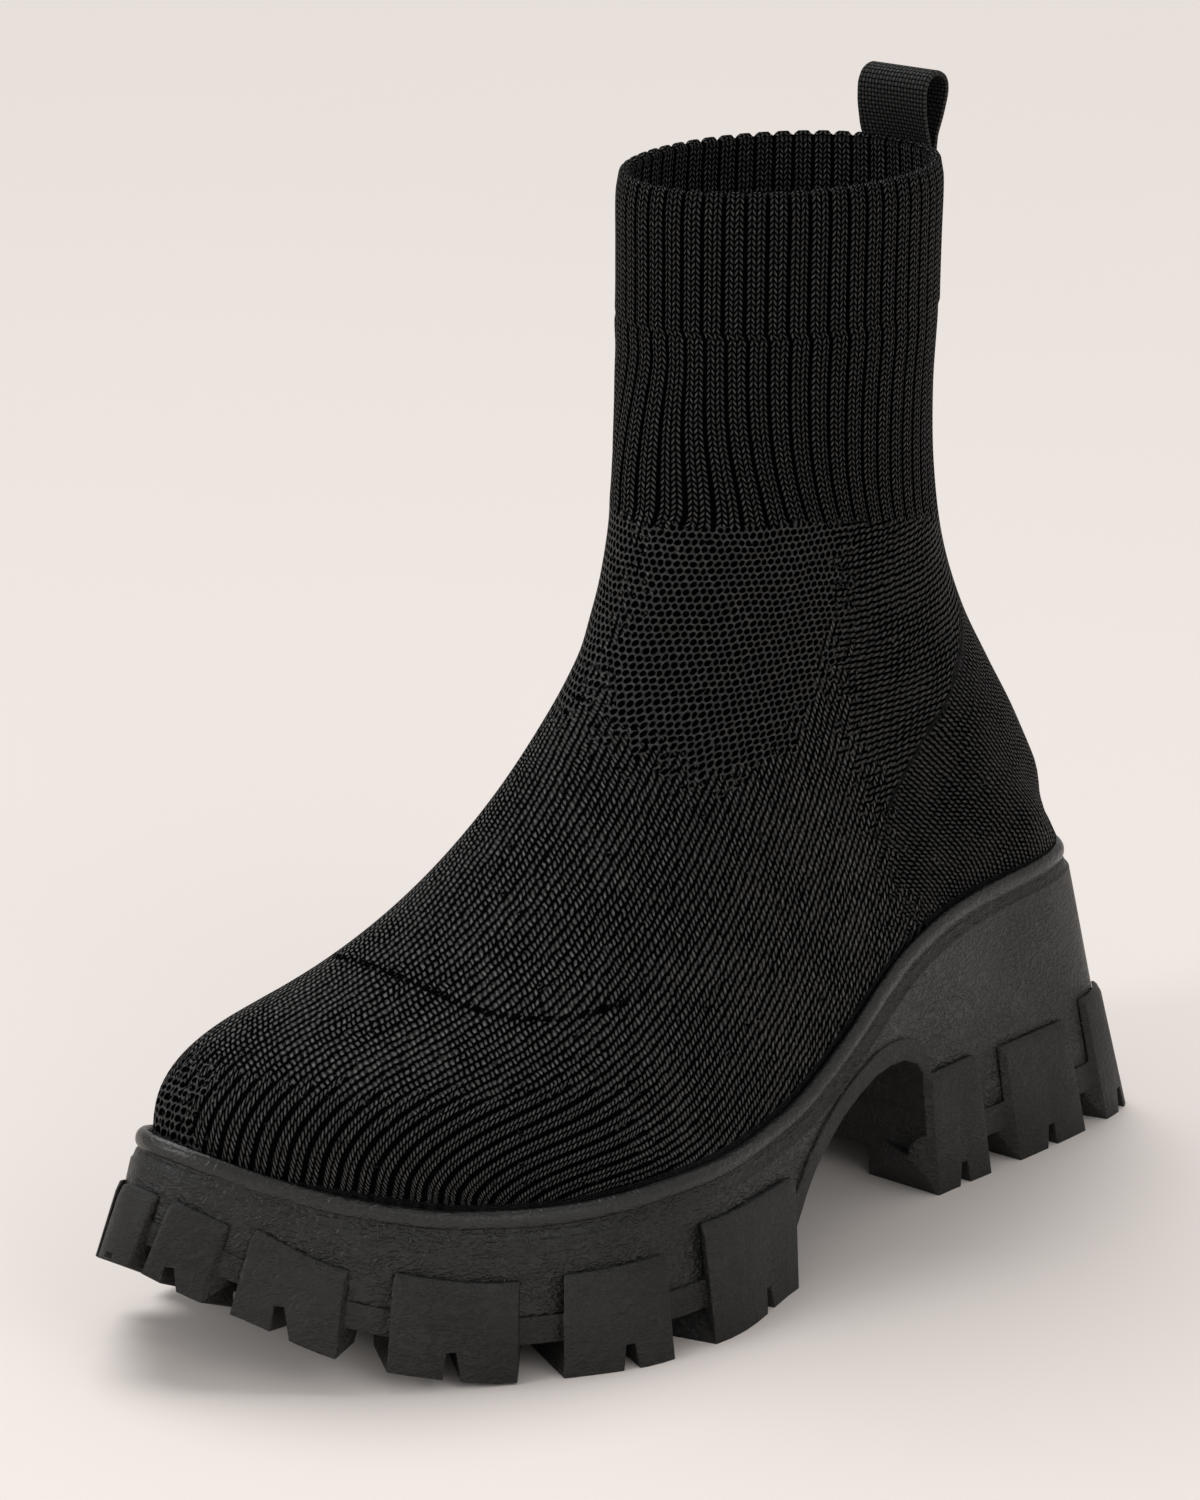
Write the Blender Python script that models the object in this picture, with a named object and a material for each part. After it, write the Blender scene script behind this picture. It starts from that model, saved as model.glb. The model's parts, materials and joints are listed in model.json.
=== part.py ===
"""Left sock boot: a knitted sock upper on a lugged platform sole with a high block heel.

Metres, +Z up, toe toward +X, outer side toward +Y, floor at z = 0.
Tables are written in parts of the three named sizes: 285 parts to the sole's length,
110 parts to its width and 236 parts to the collar's height.
"""
import math

import bmesh
import bpy
import numpy as np

SOLE_LENGTH = 0.285
SOLE_WIDTH = 0.110
COLLAR_HEIGHT = 0.236
LENGTH_PARTS = 285
WIDTH_PARTS = 110
HEIGHT_PARTS = 236

LIP_BACK = 18
LIP_TIP = 271
PIECE_GAP = 0.0003
LIP_FIT_GAP = 0.0004
KNIT_WALL = 0.0022
CUFF_STEP = 0.0010
BED_DEPTH = 0.0050
INSOLE_THICKNESS = 0.0030
INSOLE_INSET = 0.0045
INSOLE_EDGE_SHARE = 0.7
INSOLE_EDGE_ROUNDING = 0.0010
LUG_PROUD = 0.0030
LUG_REACH = 0.0210
LUG_BEVEL = 0.0020
TREAD_BASE_PROUD = 0.0006
LUG_ROOT_DEPTH = 0.0030
LUG_ROOT_STEP = 0.0010
LUG_ROOT_DROP = 0.0015
LUG_ROOT_SINK = 0.0020
LUG_TOP_OFFSET = 0.0010
LUG_END_ROUNDING = 0.0004
LUG_FACE_DRAFT = 0.85
SHOULDER_OFFSET = 0.0046
SHOULDER_DROP = 0.0066
FOREFOOT_BASE = 0.0074
HEEL_BASE = 0.0084
NOTCH_WIDTH = 0.0050
NOTCH_TOP_WIDTH = 0.0022
NOTCH_HEIGHT = 0.0055
NOTCH_OVERCUT = 0.0040
LOOP_WIDTH = 0.0200
LOOP_THICKNESS = 0.0013
LOOP_BOW_START = 0.0020
LOOP_BOW_FADE = 0.0120

RING_STEPS = 108
INSOLE_STEPS = 60
UPPER_COLUMNS = 28
FOOT_ROWS = 28
TOE_BLEND = 0.3
RELAX_ROUNDS = 3
LUG_STEPS = 8
TOE_STEPS = 24
ARC_STEPS = 401
SECTION_STEPS = 201
MERGE = 1e-6
TINY_EDGE = 1e-5
FLAT_ANGLE = math.radians(0.05)

# outward offset and drop below the lip of the midsole's shoulder, groove and rolled lip, metres
LIP_PROFILE = (
    (0.0040, 0.0060), (0.0032, 0.0044), (0.0026, 0.0040), (0.0030, 0.0032), (0.0032, 0.0020),
    (0.0026, 0.0007), (0.0015, 0.0), (0.0005, 0.0004), (0.0, 0.0013),
)
# half width of the sole that one lip gap is shared over, and of the ankle's own width
MEAN_HALF_WIDTH = 30
NARROWEST_ANKLE = 28
EDGE_BULGE = 1.02
HEEL_SEAM = 15.0
FOREFOOT_SEAM = 13.5
TOE_START = 190
TOE_STOP = 293
# half width and half length of the collar, which the loop's ends follow
COLLAR_HALF_WIDTH = 34
COLLAR_HALF_LENGTH = 41
# angle in degrees from the toe tip toward the outer side, ground outline y, lip outline y
OUTLINE = (
    (0, -20.0, -18.0),
    (8, -13.5, -9.0),
    (15, -6.0, -1.3),
    (25, 7.0, 10.0),
    (36, 25.5, 23.1),
    (46, 40.0, 35.1),
    (56, 52.0, 45.3),
    (66, 61.5, 50.1),
    (74, 63.0, 50.9),
    (86, 55.5, 47.0),
    (100, 47.0, 41.5),
    (115, 41.5, 34.8),
    (130, 41.0, 31.0),
    (145, 39.5, 29.8),
    (158, 36.8, 26.0),
    (168, 30.0, 18.0),
    (174, 20.5, 9.8),
    (180, 0.0, 0.0),
    (186, -20.5, -9.8),
    (192, -30.0, -18.0),
    (202, -37.0, -26.0),
    (215, -39.0, -29.6),
    (230, -39.5, -30.0),
    (245, -40.0, -30.8),
    (260, -41.0, -32.0),
    (274, -43.0, -33.6),
    (286, -45.0, -35.2),
    (304, -47.5, -37.6),
    (314, -47.5, -37.8),
    (324, -46.0, -36.6),
    (335, -37.4, -32.6),
    (345, -30.4, -27.6),
    (352, -25.2, -23.4),
)
# x along the shoe, top of the lip, floor clearance of the toe spring
HEIGHTS = (
    (0, 69.0, 0.0),
    (18, 68.5, 0.0),
    (50, 67.0, 0.0),
    (75, 64.5, 0.0),
    (90, 61.0, 0.0),
    (104, 55.5, 0.0),
    (117, 49.5, 0.0),
    (131, 43.5, 0.0),
    (147, 38.5, 0.0),
    (167, 36.3, 0.0),
    (207, 36.0, 0.0),
    (231, 36.8, 0.5),
    (254, 41.0, 5.0),
    (262, 43.3, 8.0),
    (272, 46.5, 13.7),
    (278, 48.0, 16.5),
    (285, 50.0, 21.5),
)
# side view of the parting between tread and midsole, x then height over the toe spring
PARTING = (
    (-8, HEEL_SEAM), (84.6, HEEL_SEAM), (85.4, 22.0), (86.0, 31.0), (88.0, 36.4), (92.0, 39.4),
    (97.0, 41.2), (103.4, 42.0), (110.6, 41.8), (119.0, 39.8), (127.6, 36.6),
    (134.8, 32.4), (141.4, 27.0), (147.0, 20.4), (151.6, FOREFOOT_SEAM),
    (TOE_START, FOREFOOT_SEAM), (207, FOREFOOT_SEAM), (219, FOREFOOT_SEAM),
    (231, FOREFOOT_SEAM), (238, FOREFOOT_SEAM), (246, FOREFOOT_SEAM),
    (254, FOREFOOT_SEAM), (262, FOREFOOT_SEAM), (267, FOREFOOT_SEAM),
    (272, FOREFOOT_SEAM), (278, FOREFOOT_SEAM), (285, FOREFOOT_SEAM),
    (TOE_STOP, FOREFOOT_SEAM),
)
# side view of the arch's underside and the heel's front face
ARCH = (
    (87.7, 8.4), (88.4, 20.0), (89.2, 30.4), (91.6, 33.2), (96.9, 35.8), (103.3, 36.6),
    (110.3, 36.5), (118.4, 34.6), (126.4, 31.6), (132.6, 27.6), (137.8, 23.8),
    (142.5, 18.6), (147.3, 11.3), (149.2, 7.4),
)
# outline angles of a lug's two ends, height of its top, notch place as share of its run
LUGS = (
    (-9.0, 5.5, 16.6, 0.50),
    (9.0, 19.0, 17.6, 0.50),
    (23.0, 34.0, 19.5, 0.50),
    (39.0, 51.5, 21.5, 0.50),
    (56.0, 67.0, 22.0, 0.58),
    (72.2, 87.0, 25.5, 0.62),
    (113.6, 122.5, 29.5, 0.50),
    (128.0, 143.0, 28.5, 0.45),
    (150.0, 164.0, 31.0, 0.50),
    (173.0, 187.0, 31.0, 0.50),
    (196.0, 210.0, 31.0, 0.50),
    (217.0, 232.0, 28.5, 0.55),
    (237.5, 246.4, 29.5, 0.50),
    (273.0, 286.0, 25.5, 0.40),
    (291.5, 302.5, 22.0, 0.42),
    (307.5, 318.5, 21.5, 0.50),
    (324.0, 335.0, 19.5, 0.50),
    (339.5, 348.0, 17.6, 0.50),
)
# feather x, top x, top z, widest half width (0 follows the lip), drop below widest, power on top
FOOT_SECTIONS = (
    (236, 270.6, 46.5, 0.0, 2.0, 2.20),
    (230, 271.0, 54.0, 0.0, 4.0, 2.15),
    (221, 265.2, 62.6, 0.0, 6.0, 2.10),
    (208, 250.1, 69.6, 0.0, 8.0, 2.05),
    (192, 228.6, 75.1, 0.0, 9.0, 2.00),
    (174, 206.4, 83.9, 0.0, 10.0, 2.00),
    (154, 187.9, 95.4, 0.0, 11.0, 2.00),
    (131, 172.5, 108.7, 0.0, 13.0, 2.00),
    (104, 160.8, 123.1, 0.0, 17.0, 2.05),
    (75, 152.5, 136.3, 32.9, 24.0, 2.15),
    (47, 148.1, 149.3, 32.9, 36.0, 2.25),
    (28, 145.0, 160.0, 33.8, 52.0, 2.35),
    (18.4, 142.4, 168.7, 34.4, 62.0, 2.40),
)
# back x, back z, front x, front z, half width, share of the widest level, power on top
LEG_SECTIONS = (
    (14.0, 78.0, 143.4, 171.0, 33.3, 0.43, 2.40),
    (18.2, 89.0, 142.7, 175.0, 32.2, 0.44, 2.38),
    (29.5, 104.0, 142.0, 180.0, 31.2, 0.46, 2.34),
    (43.2, 122.0, 140.9, 185.0, 30.6, 0.48, 2.28),
    (52.8, 141.0, 139.4, 190.0, 31.2, 0.49, 2.20),
    (57.7, 162.0, 138.0, 194.5, 32.7, 0.50, 2.10),
    (59.0, 184.0, 137.4, 199.5, 33.4, 0.50, 2.02),
    (57.9, 203.6, 137.0, 203.6, 33.2, 0.50, 2.00),
    (57.9, 205.0, 136.4, 205.0, 32.7, 0.50, 2.00),
    (57.5, 220.0, 136.3, 220.0, 32.6, 0.50, 2.00),
    (57.1, 232.5, 136.3, 231.3, 32.6, 0.50, 2.00),
    (57.7, 236.4, 135.7, 235.2, 32.0, 0.50, 2.00),
)
FIRST_CUFF_ROW = 8
# share of the foot sections passed, y of the top line
TOP_LINE = ((0.0, -18.0), (0.1, -15.6), (0.25, -12.0), (0.4, -7.3), (0.6, -4.5), (0.8, -1.6), (1.0, 0.0))
# loop's mid line in side view: x ahead of the collar's back, z over the rim
LOOP_PATH = (
    (-1.35, -18.0), (-1.35, -9.0), (-1.20, -1.0), (0.4, 4.0), (1.9, 9.0), (2.3, 12.5),
    (1.1, 15.2), (-1.6, 16.2), (-4.4, 14.8), (-5.4, 11.6), (-4.7, 7.0), (-3.4, 2.0),
    (-2.98, -2.0), (-2.95, -9.0), (-2.95, -18.0),
)

LENGTH_UNIT = SOLE_LENGTH / LENGTH_PARTS
WIDTH_UNIT = SOLE_WIDTH / WIDTH_PARTS
HEIGHT_UNIT = COLLAR_HEIGHT / HEIGHT_PARTS


def smooth(points, values, at):
    """Cubic curve without overshoot through the table's points."""
    x = np.asarray(points, float)
    y = np.asarray(values, float)
    at = np.clip(np.asarray(at, float), x[0], x[-1])
    step = np.diff(x)
    slope = np.diff(y) / step
    lean = np.zeros_like(y)
    lean[0] = slope[0]
    lean[-1] = slope[-1]
    rising = slope[:-1] * slope[1:] > 0
    ahead = 2 * step[1:] + step[:-1]
    behind = step[1:] + 2 * step[:-1]
    safe_a = np.where(rising, slope[:-1], 1.0)
    safe_b = np.where(rising, slope[1:], 1.0)
    lean[1:-1] = np.where(rising, (ahead + behind) / (ahead / safe_a + behind / safe_b), 0.0)
    k = np.clip(np.searchsorted(x, at, side="right") - 1, 0, len(x) - 2)
    t = (at - x[k]) / step[k]
    start = (1 + 2 * t) * (1 - t) ** 2 * y[k] + t * (1 - t) ** 2 * step[k] * lean[k]
    end = t * t * (3 - 2 * t) * y[k + 1] + t * t * (t - 1) * step[k] * lean[k + 1]
    return start + end


def around(column, degrees):
    """Value of one OUTLINE column at angles that wrap round the sole."""
    rows = np.array(OUTLINE, float)
    angles = np.concatenate([rows[-4:, 0] - 360, rows[:, 0], rows[:4, 0] + 360])
    values = np.concatenate([rows[-4:, column], rows[:, column], rows[:4, column]])
    return smooth(angles, values, np.mod(degrees, 360))


def heights(x, column):
    """Lip height (column 1) or toe spring (column 2) at x, in metres."""
    rows = np.array(HEIGHTS, float)
    return smooth(rows[:, 0] * LENGTH_UNIT, rows[:, column] * HEIGHT_UNIT, x)


def ground_line(degrees):
    """Plan of the lugs' outer foot at outline angles."""
    x = SOLE_LENGTH * (1 + np.cos(np.radians(degrees))) / 2
    return np.stack([x, around(1, degrees) * WIDTH_UNIT], -1)


def lip_line(degrees):
    """Plan of the lip's inner edge at outline angles."""
    run = (LIP_TIP - LIP_BACK) * LENGTH_UNIT
    x = LIP_BACK * LENGTH_UNIT + run * (1 + np.cos(np.radians(degrees))) / 2
    return np.stack([x, around(2, degrees) * WIDTH_UNIT], -1)


class Stations:
    """Places round the sole, each with its outward direction and wall."""

    def __init__(self, degrees):
        self.lip = lip_line(degrees)
        reach = ground_line(degrees) - self.lip
        self.reach = np.linalg.norm(reach, axis=1)
        self.out = reach / self.reach[:, None]
        self.lip_z = heights(self.lip[:, 0], 1)
        foot = self.lip + self.out * (self.reach - LUG_PROUD)[:, None]
        self.foot_z = heights(foot[:, 0], 2)

    def wall(self, over_floor):
        """Outward offset of the midsole wall at a height over the toe spring."""
        rise = self.lip_z - SHOULDER_DROP - self.foot_z
        share = np.clip(over_floor / rise, 0, 1)
        foot = self.reach - LUG_PROUD
        return foot + (SHOULDER_OFFSET - foot) * share

    def ring(self, offset, z):
        """Closed ring of points at an outward offset and a height."""
        plan = self.lip + self.out * np.broadcast_to(offset, self.reach.shape)[:, None]
        return np.column_stack([plan, np.broadcast_to(z, self.reach.shape)])

    def inner_ring(self, inset, z):
        """Closed ring of points squarely inside the lip's inner edge."""
        along = np.roll(self.lip, -1, axis=0) - np.roll(self.lip, 1, axis=0)
        along /= np.linalg.norm(along, axis=1)[:, None]
        inward = np.column_stack([-along[:, 1], along[:, 0]])
        return np.column_stack([self.lip + inward * inset, z])


def add_object(name, verts, faces):
    """Mesh object from vertices and faces."""
    mesh = bpy.data.meshes.new(name)
    mesh.from_pydata([tuple(v) for v in verts], [], faces)
    mesh.validate()
    obj = bpy.data.objects.new(name, mesh)
    bpy.context.scene.collection.objects.link(obj)
    bm = bmesh.new()
    bm.from_mesh(mesh)
    bmesh.ops.remove_doubles(bm, verts=bm.verts, dist=MERGE)
    bmesh.ops.recalc_face_normals(bm, faces=bm.faces)
    bmesh.ops.triangulate(bm, faces=bm.faces)
    bm.to_mesh(mesh)
    bm.free()
    return obj


def cap_faces(first, count):
    """Strip of faces that closes a ring whose halves face each other."""
    faces = [(first, first + 1, first + count - 1)]
    for k in range(1, count // 2 - 1):
        faces.append((first + k, first + k + 1, first + count - k - 1, first + count - k))
    half = count // 2
    faces.append((first + half - 1, first + half, first + half + 1))
    return faces


def loft_rings(name, rings):
    """Closed body through rings of equal count, capped at both ends."""
    count = len(rings[0])
    verts = np.concatenate(rings)
    faces = cap_faces(0, count) + cap_faces((len(rings) - 1) * count, count)
    for r in range(len(rings) - 1):
        for k in range(count):
            nxt = (k + 1) % count
            low = r * count
            high = low + count
            faces.append((low + k, low + nxt, high + nxt, high + k))
    return add_object(name, verts, faces)


def prism(name, outline, half_width):
    """Side view outline pushed out across the shoe, both ways."""
    count = len(outline)
    verts = [(x, side, z) for side in (-half_width, half_width) for x, z in outline]
    faces = [tuple(range(count)), tuple(range(count, 2 * count))]
    for k in range(count):
        nxt = (k + 1) % count
        faces.append((k, nxt, count + nxt, count + k))
    return add_object(name, verts, faces)


def carve(target, tool, operation):
    """Apply an exact Boolean and drop the tool."""
    step = target.modifiers.new("cut", "BOOLEAN")
    step.operation = operation
    step.solver = "EXACT"
    step.object = tool
    depsgraph = bpy.context.evaluated_depsgraph_get()
    shaped = bpy.data.meshes.new_from_object(target.evaluated_get(depsgraph))
    target.modifiers.clear()
    target.data = shaped
    bm = bmesh.new()
    bm.from_mesh(shaped)
    bmesh.ops.dissolve_limit(bm, angle_limit=FLAT_ANGLE, verts=bm.verts, edges=bm.edges)
    bmesh.ops.triangulate(bm, faces=bm.faces)
    bm.to_mesh(shaped)
    bm.free()
    bpy.data.objects.remove(tool)


def clean(obj):
    """Close the tiny edges that the Booleans leave."""
    bm = bmesh.new()
    bm.from_mesh(obj.data)
    bmesh.ops.dissolve_degenerate(bm, edges=bm.edges, dist=TINY_EDGE)
    bmesh.ops.recalc_face_normals(bm, faces=bm.faces)
    bm.to_mesh(obj.data)
    bm.free()


def side_curve(table):
    """Side view table in metres, with the toe spring added."""
    rows = np.array(table, float)
    x = rows[:, 0] * LENGTH_UNIT
    return np.column_stack([x, rows[:, 1] * HEIGHT_UNIT + heights(x, 2)])


def shifted(curve, distance):
    """Side view curve moved along its own normals, up where it runs forward."""
    along = np.gradient(curve, axis=0)
    along /= np.linalg.norm(along, axis=1)[:, None]
    return curve + np.column_stack([-along[:, 1], along[:, 0]]) * distance


def build_midsole(stations):
    """Platform body with wall, shoulder, groove, rolled lip and sunk foot bed."""
    lip = stations.lip_z
    rings = [
        stations.ring(stations.wall(0.0), stations.foot_z),
        stations.ring(SHOULDER_OFFSET, lip - SHOULDER_DROP),
    ]
    rings += [stations.ring(offset, lip - drop) for offset, drop in LIP_PROFILE]
    rings.append(stations.ring(0.0, lip - BED_DEPTH))
    body = loft_rings("midsole", rings)
    under = shifted(side_curve(PARTING), PIECE_GAP / 2)
    floor = [(under[-1][0], -SHOULDER_DROP), (under[0][0], -SHOULDER_DROP)]
    carve(body, prism("under_cut", [tuple(p) for p in under] + floor, SOLE_WIDTH), "DIFFERENCE")
    clean(body)
    return body


def ground_inward(angle):
    """Unit direction squarely inward from the ground outline."""
    near = ground_line(np.array([angle - 1.0, angle + 1.0]))
    along = (near[1] - near[0]) / np.linalg.norm(near[1] - near[0])
    return np.array([-along[1], along[0]])


def lug_body(index, start, end, top, notch):
    """One L-shaped lug that wraps the sole's edge, with its notch."""
    count = LUG_STEPS
    degrees = np.linspace(start, end, count)
    places = Stations(degrees)
    top_z = top * HEIGHT_UNIT
    heel_side = 100 < (start + end) / 2 < 260
    base = HEEL_BASE if heel_side else FOREFOOT_BASE
    inward = ground_inward((start + end) / 2)
    seam = (HEEL_SEAM if heel_side else FOREFOOT_SEAM) * HEIGHT_UNIT
    wall_top = places.wall(top_z)
    near_wall = places.ring(places.wall(seam), 0.0)[:, 0]
    wall_seam = places.wall(seam - (places.foot_z - heights(near_wall, 2)))
    ends = np.minimum(np.arange(count), np.arange(count)[::-1]) == 0
    draft = np.where(ends, 0.0, 1.0)
    profile = [
        (places.reach, 0.0),
        (wall_top + LUG_PROUD * LUG_FACE_DRAFT, top_z - LUG_BEVEL),
        (wall_top + LUG_TOP_OFFSET + LUG_END_ROUNDING * draft, top_z),
        (wall_top + PIECE_GAP, top_z),
        (wall_seam + 1.5 * PIECE_GAP, seam + PIECE_GAP / 3),
        (wall_seam - LUG_ROOT_DEPTH, seam - LUG_ROOT_DROP),
        (wall_seam - LUG_ROOT_DEPTH - LUG_ROOT_STEP, base + LUG_ROOT_SINK),
        (places.reach, base + LUG_ROOT_SINK),
        (places.reach, 0.0),
    ]
    rows = []
    for step, (offset, rise) in enumerate(profile):
        ring = places.ring(offset, 0.0)
        if step >= len(profile) - 2:
            ring[:, :2] += inward * LUG_REACH
        ring[:, 2] = heights(ring[:, 0], 2) + rise
        if rise > seam + PIECE_GAP:
            ring[:, 2] = places.foot_z + rise
        rows.append(ring)
    grid = np.array(rows)
    points = len(profile)
    verts = grid.transpose(1, 0, 2).reshape(-1, 3)
    faces = [tuple(range(points)), tuple(range((count - 1) * points, count * points))]
    for s in range(count - 1):
        for k in range(points):
            nxt = (k + 1) % points
            faces.append((s * points + k, s * points + nxt,
                          (s + 1) * points + nxt, (s + 1) * points + k))
    lug = add_object("lug_%d" % index, verts, faces)
    carve(lug, notch_tool(start + (end - start) * notch), "DIFFERENCE")
    return lug


def notch_tool(angle):
    """Wedge that cuts a V into a lug's foot, pointing across the edge."""
    out = -ground_inward(angle)
    along = np.array([-out[1], out[0]])
    edge = ground_line(np.array([angle]))[0]
    middle = edge - out * LUG_REACH / 2
    verts = []
    for depth in (-LUG_REACH, LUG_REACH):
        floor = float(heights(middle[0] + out[0] * depth, 2))
        for side, z in ((-NOTCH_WIDTH / 2, -NOTCH_OVERCUT), (NOTCH_WIDTH / 2, -NOTCH_OVERCUT),
                        (NOTCH_TOP_WIDTH / 2, NOTCH_HEIGHT), (-NOTCH_TOP_WIDTH / 2, NOTCH_HEIGHT)):
            plan = middle + out * depth + along * side
            verts.append((plan[0], plan[1], z + floor))
    faces = [(0, 1, 2, 3), (4, 5, 6, 7), (0, 1, 5, 4), (1, 2, 6, 5), (2, 3, 7, 6), (3, 0, 4, 7)]
    return add_object("notch", verts, faces)


def build_outsole(stations):
    """Tread layer with arch band and heel front strip, joined with its lugs."""
    rise = stations.lip_z - SHOULDER_DROP - PIECE_GAP
    rings = [
        stations.ring(stations.wall(0.0) + TREAD_BASE_PROUD, stations.foot_z),
        stations.ring(SHOULDER_OFFSET + TREAD_BASE_PROUD, rise),
    ]
    body = loft_rings("outsole", rings)
    over = shifted(side_curve(PARTING), -PIECE_GAP / 2)
    arch = side_curve(ARCH)
    toe_x = np.linspace(TOE_START, TOE_STOP, TOE_STEPS) * LENGTH_UNIT
    toe = [(x, FOREFOOT_BASE + float(heights(x, 2))) for x in toe_x]
    heel = [(over[0][0], HEEL_BASE)]
    layer = heel + [tuple(p) for p in arch] + toe + [tuple(p) for p in over[::-1]]
    carve(body, prism("layer", layer, SOLE_WIDTH), "INTERSECT")
    for index, (start, end, top, notch) in enumerate(LUGS):
        carve(body, lug_body(index, start, end, top, notch), "UNION")
    clean(body)
    return body


def feather(x):
    """Outer and inner side y of the upper's lower edge at x, and its height."""
    back = LIP_BACK * LENGTH_UNIT + LIP_FIT_GAP
    tip = LIP_TIP * LENGTH_UNIT - LIP_FIT_GAP
    degrees = np.degrees(np.arccos(np.clip(2 * (x - back) / (tip - back) - 1, -1, 1)))
    shrink = 1 - LIP_FIT_GAP / (MEAN_HALF_WIDTH * WIDTH_UNIT)
    outer = around(2, degrees) * WIDTH_UNIT * shrink
    inner = around(2, 360 - degrees) * WIDTH_UNIT * shrink
    return outer, inner, heights(x, 1) + 2 * PIECE_GAP


def even_spacing(curve, count):
    """Resample a curve into points at even distances."""
    run = np.concatenate([[0.0], np.cumsum(np.linalg.norm(np.diff(curve, axis=0), axis=1))])
    want = np.linspace(0, run[-1], count)
    return np.stack([np.interp(want, run, curve[:, k]) for k in range(3)], -1)


def section_curve(shares, centre, top, drop, half_width, turn, power):
    """Points of one section from its lower inner edge over the top to the outer edge."""
    angle = shares * (math.pi / 2 + turn)
    rise = np.cos(np.abs(angle))
    side = np.clip(np.sin(np.abs(angle)), 0, 1)
    bend = np.where(rise >= 0, 2 / power, 1.0)
    rise = np.sign(rise) * np.abs(rise) ** bend
    side = np.sign(shares) * side ** bend * half_width
    length = np.linalg.norm(top - centre)
    down = (top - centre) / length * drop
    above = np.outer(rise, top - centre)
    below = np.outer(rise, down)
    curve = centre + np.where((rise >= 0)[:, None], above, below)
    return curve + np.outer(side, [0, 1, 0])


def toe_arc(shares, start_x):
    """Local shape of the toe's lower edge: rise share and side share at even steps."""
    tip = LIP_TIP * LENGTH_UNIT - LIP_FIT_GAP
    bend = np.linspace(-1, 1, ARC_STEPS)
    x = start_x + (tip - start_x) * np.cos(bend * math.pi / 2)
    outer, inner, edge_z = feather(x)
    outline = np.column_stack([x, np.where(bend > 0, outer, inner), edge_z])
    even = even_spacing(outline, len(shares))
    left, right, _ = feather(start_x)
    middle = (left + right) / 2
    tip_y = around(2, 0.0) * WIDTH_UNIT
    rise = (even[:, 0] - start_x) / (tip - start_x)
    side = (even[:, 1] - middle - rise * (tip_y - middle)) / ((left - right) / 2)
    return rise, side


def foot_row(share, shares, arc):
    """One row of the foot, from the toe's edge (0) to the heel's back (1)."""
    table = np.array(FOOT_SECTIONS, float)
    steps = np.linspace(0, 1, len(table))
    edge_x, top_x, top_z, wide, drop, power = [smooth(steps, table[:, k], share) for k in range(6)]
    edge_x = edge_x * LENGTH_UNIT
    outer, inner, edge_z = feather(edge_x)
    line = np.array(TOP_LINE)
    top_y = smooth(line[:, 0], line[:, 1], share) * WIDTH_UNIT
    edge = np.array([edge_x, (outer + inner) / 2, edge_z])
    top = np.array([top_x * LENGTH_UNIT, top_y, top_z * HEIGHT_UNIT])
    half_edge = (outer - inner) / 2
    half = max(half_edge * EDGE_BULGE, wide * WIDTH_UNIT if wide > NARROWEST_ANKLE else 0.0)
    turn = math.acos(min(1.0, half_edge / half))
    up = (top - edge) / np.linalg.norm(top - edge)
    drop = drop * HEIGHT_UNIT
    centre = edge + up * drop * math.sin(turn)
    curve = section_curve(np.linspace(-1, 1, SECTION_STEPS), centre, top, drop, half, turn, power)
    curve = even_spacing(curve, len(shares))
    blend = min(1.0, share / TOE_BLEND)
    blend = blend * blend * (3 - 2 * blend)
    rise, side = arc
    rounded = edge + np.outer(rise, top - edge) + np.outer(side * half_edge, [0, 1, 0])
    return rounded + (curve - rounded) * blend


def leg_row(row, count):
    """One closed row of the leg; its first and last points meet at the back."""
    back_x, back_z, front_x, front_z, wide, level, power = row
    back = np.array([back_x * LENGTH_UNIT, 0.0, back_z * HEIGHT_UNIT])
    front = np.array([front_x * LENGTH_UNIT, 0.0, front_z * HEIGHT_UNIT])
    centre = back + (front - back) * level
    drop = np.linalg.norm(centre - back)
    curve = section_curve(np.linspace(-1, 1, SECTION_STEPS), centre, front, drop,
                          wide * WIDTH_UNIT, math.pi / 2, power)
    return even_spacing(curve, count)


def upper_rows():
    """All rows of the upper's outer face, toe first, collar rim last."""
    count = UPPER_COLUMNS + 1
    shares = np.linspace(-1, 1, count)
    start_x = FOOT_SECTIONS[0][0] * LENGTH_UNIT
    arc = toe_arc(shares, start_x)
    rows = [foot_row(s, shares, arc) for s in np.linspace(0, 1, FOOT_ROWS)]
    rows[-1][0] = rows[-1][-1] = (rows[-1][0] + rows[-1][-1]) / 2
    for index, row in enumerate(LEG_SECTIONS):
        curve = leg_row(row, count)
        if index >= FIRST_CUFF_ROW:
            middle = curve.mean(axis=0)
            away = curve - middle
            away[:, 2] = 0
            curve = curve + away / np.linalg.norm(away, axis=1)[:, None] * CUFF_STEP
        rows.append(curve)
    return relaxed(np.array(rows))


def relaxed(rows):
    """Ease the foot and ankle between the fixed lower edge and the cuff."""
    last = FOOT_ROWS + FIRST_CUFF_ROW - 1
    for _ in range(RELAX_ROUNDS):
        closed = np.concatenate([rows[:, -2:-1], rows, rows[:, 1:2]], axis=1)
        sides = closed[:, :-2] + closed[:, 2:]
        eased = rows.copy()
        near = rows[:last - 1] + rows[2:last + 1] + sides[1:last]
        eased[1:last] = rows[1:last] / 2 + near / 8
        eased[:FOOT_ROWS, [0, -1]] = rows[:FOOT_ROWS, [0, -1]]
        rows = eased
    return rows


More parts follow.
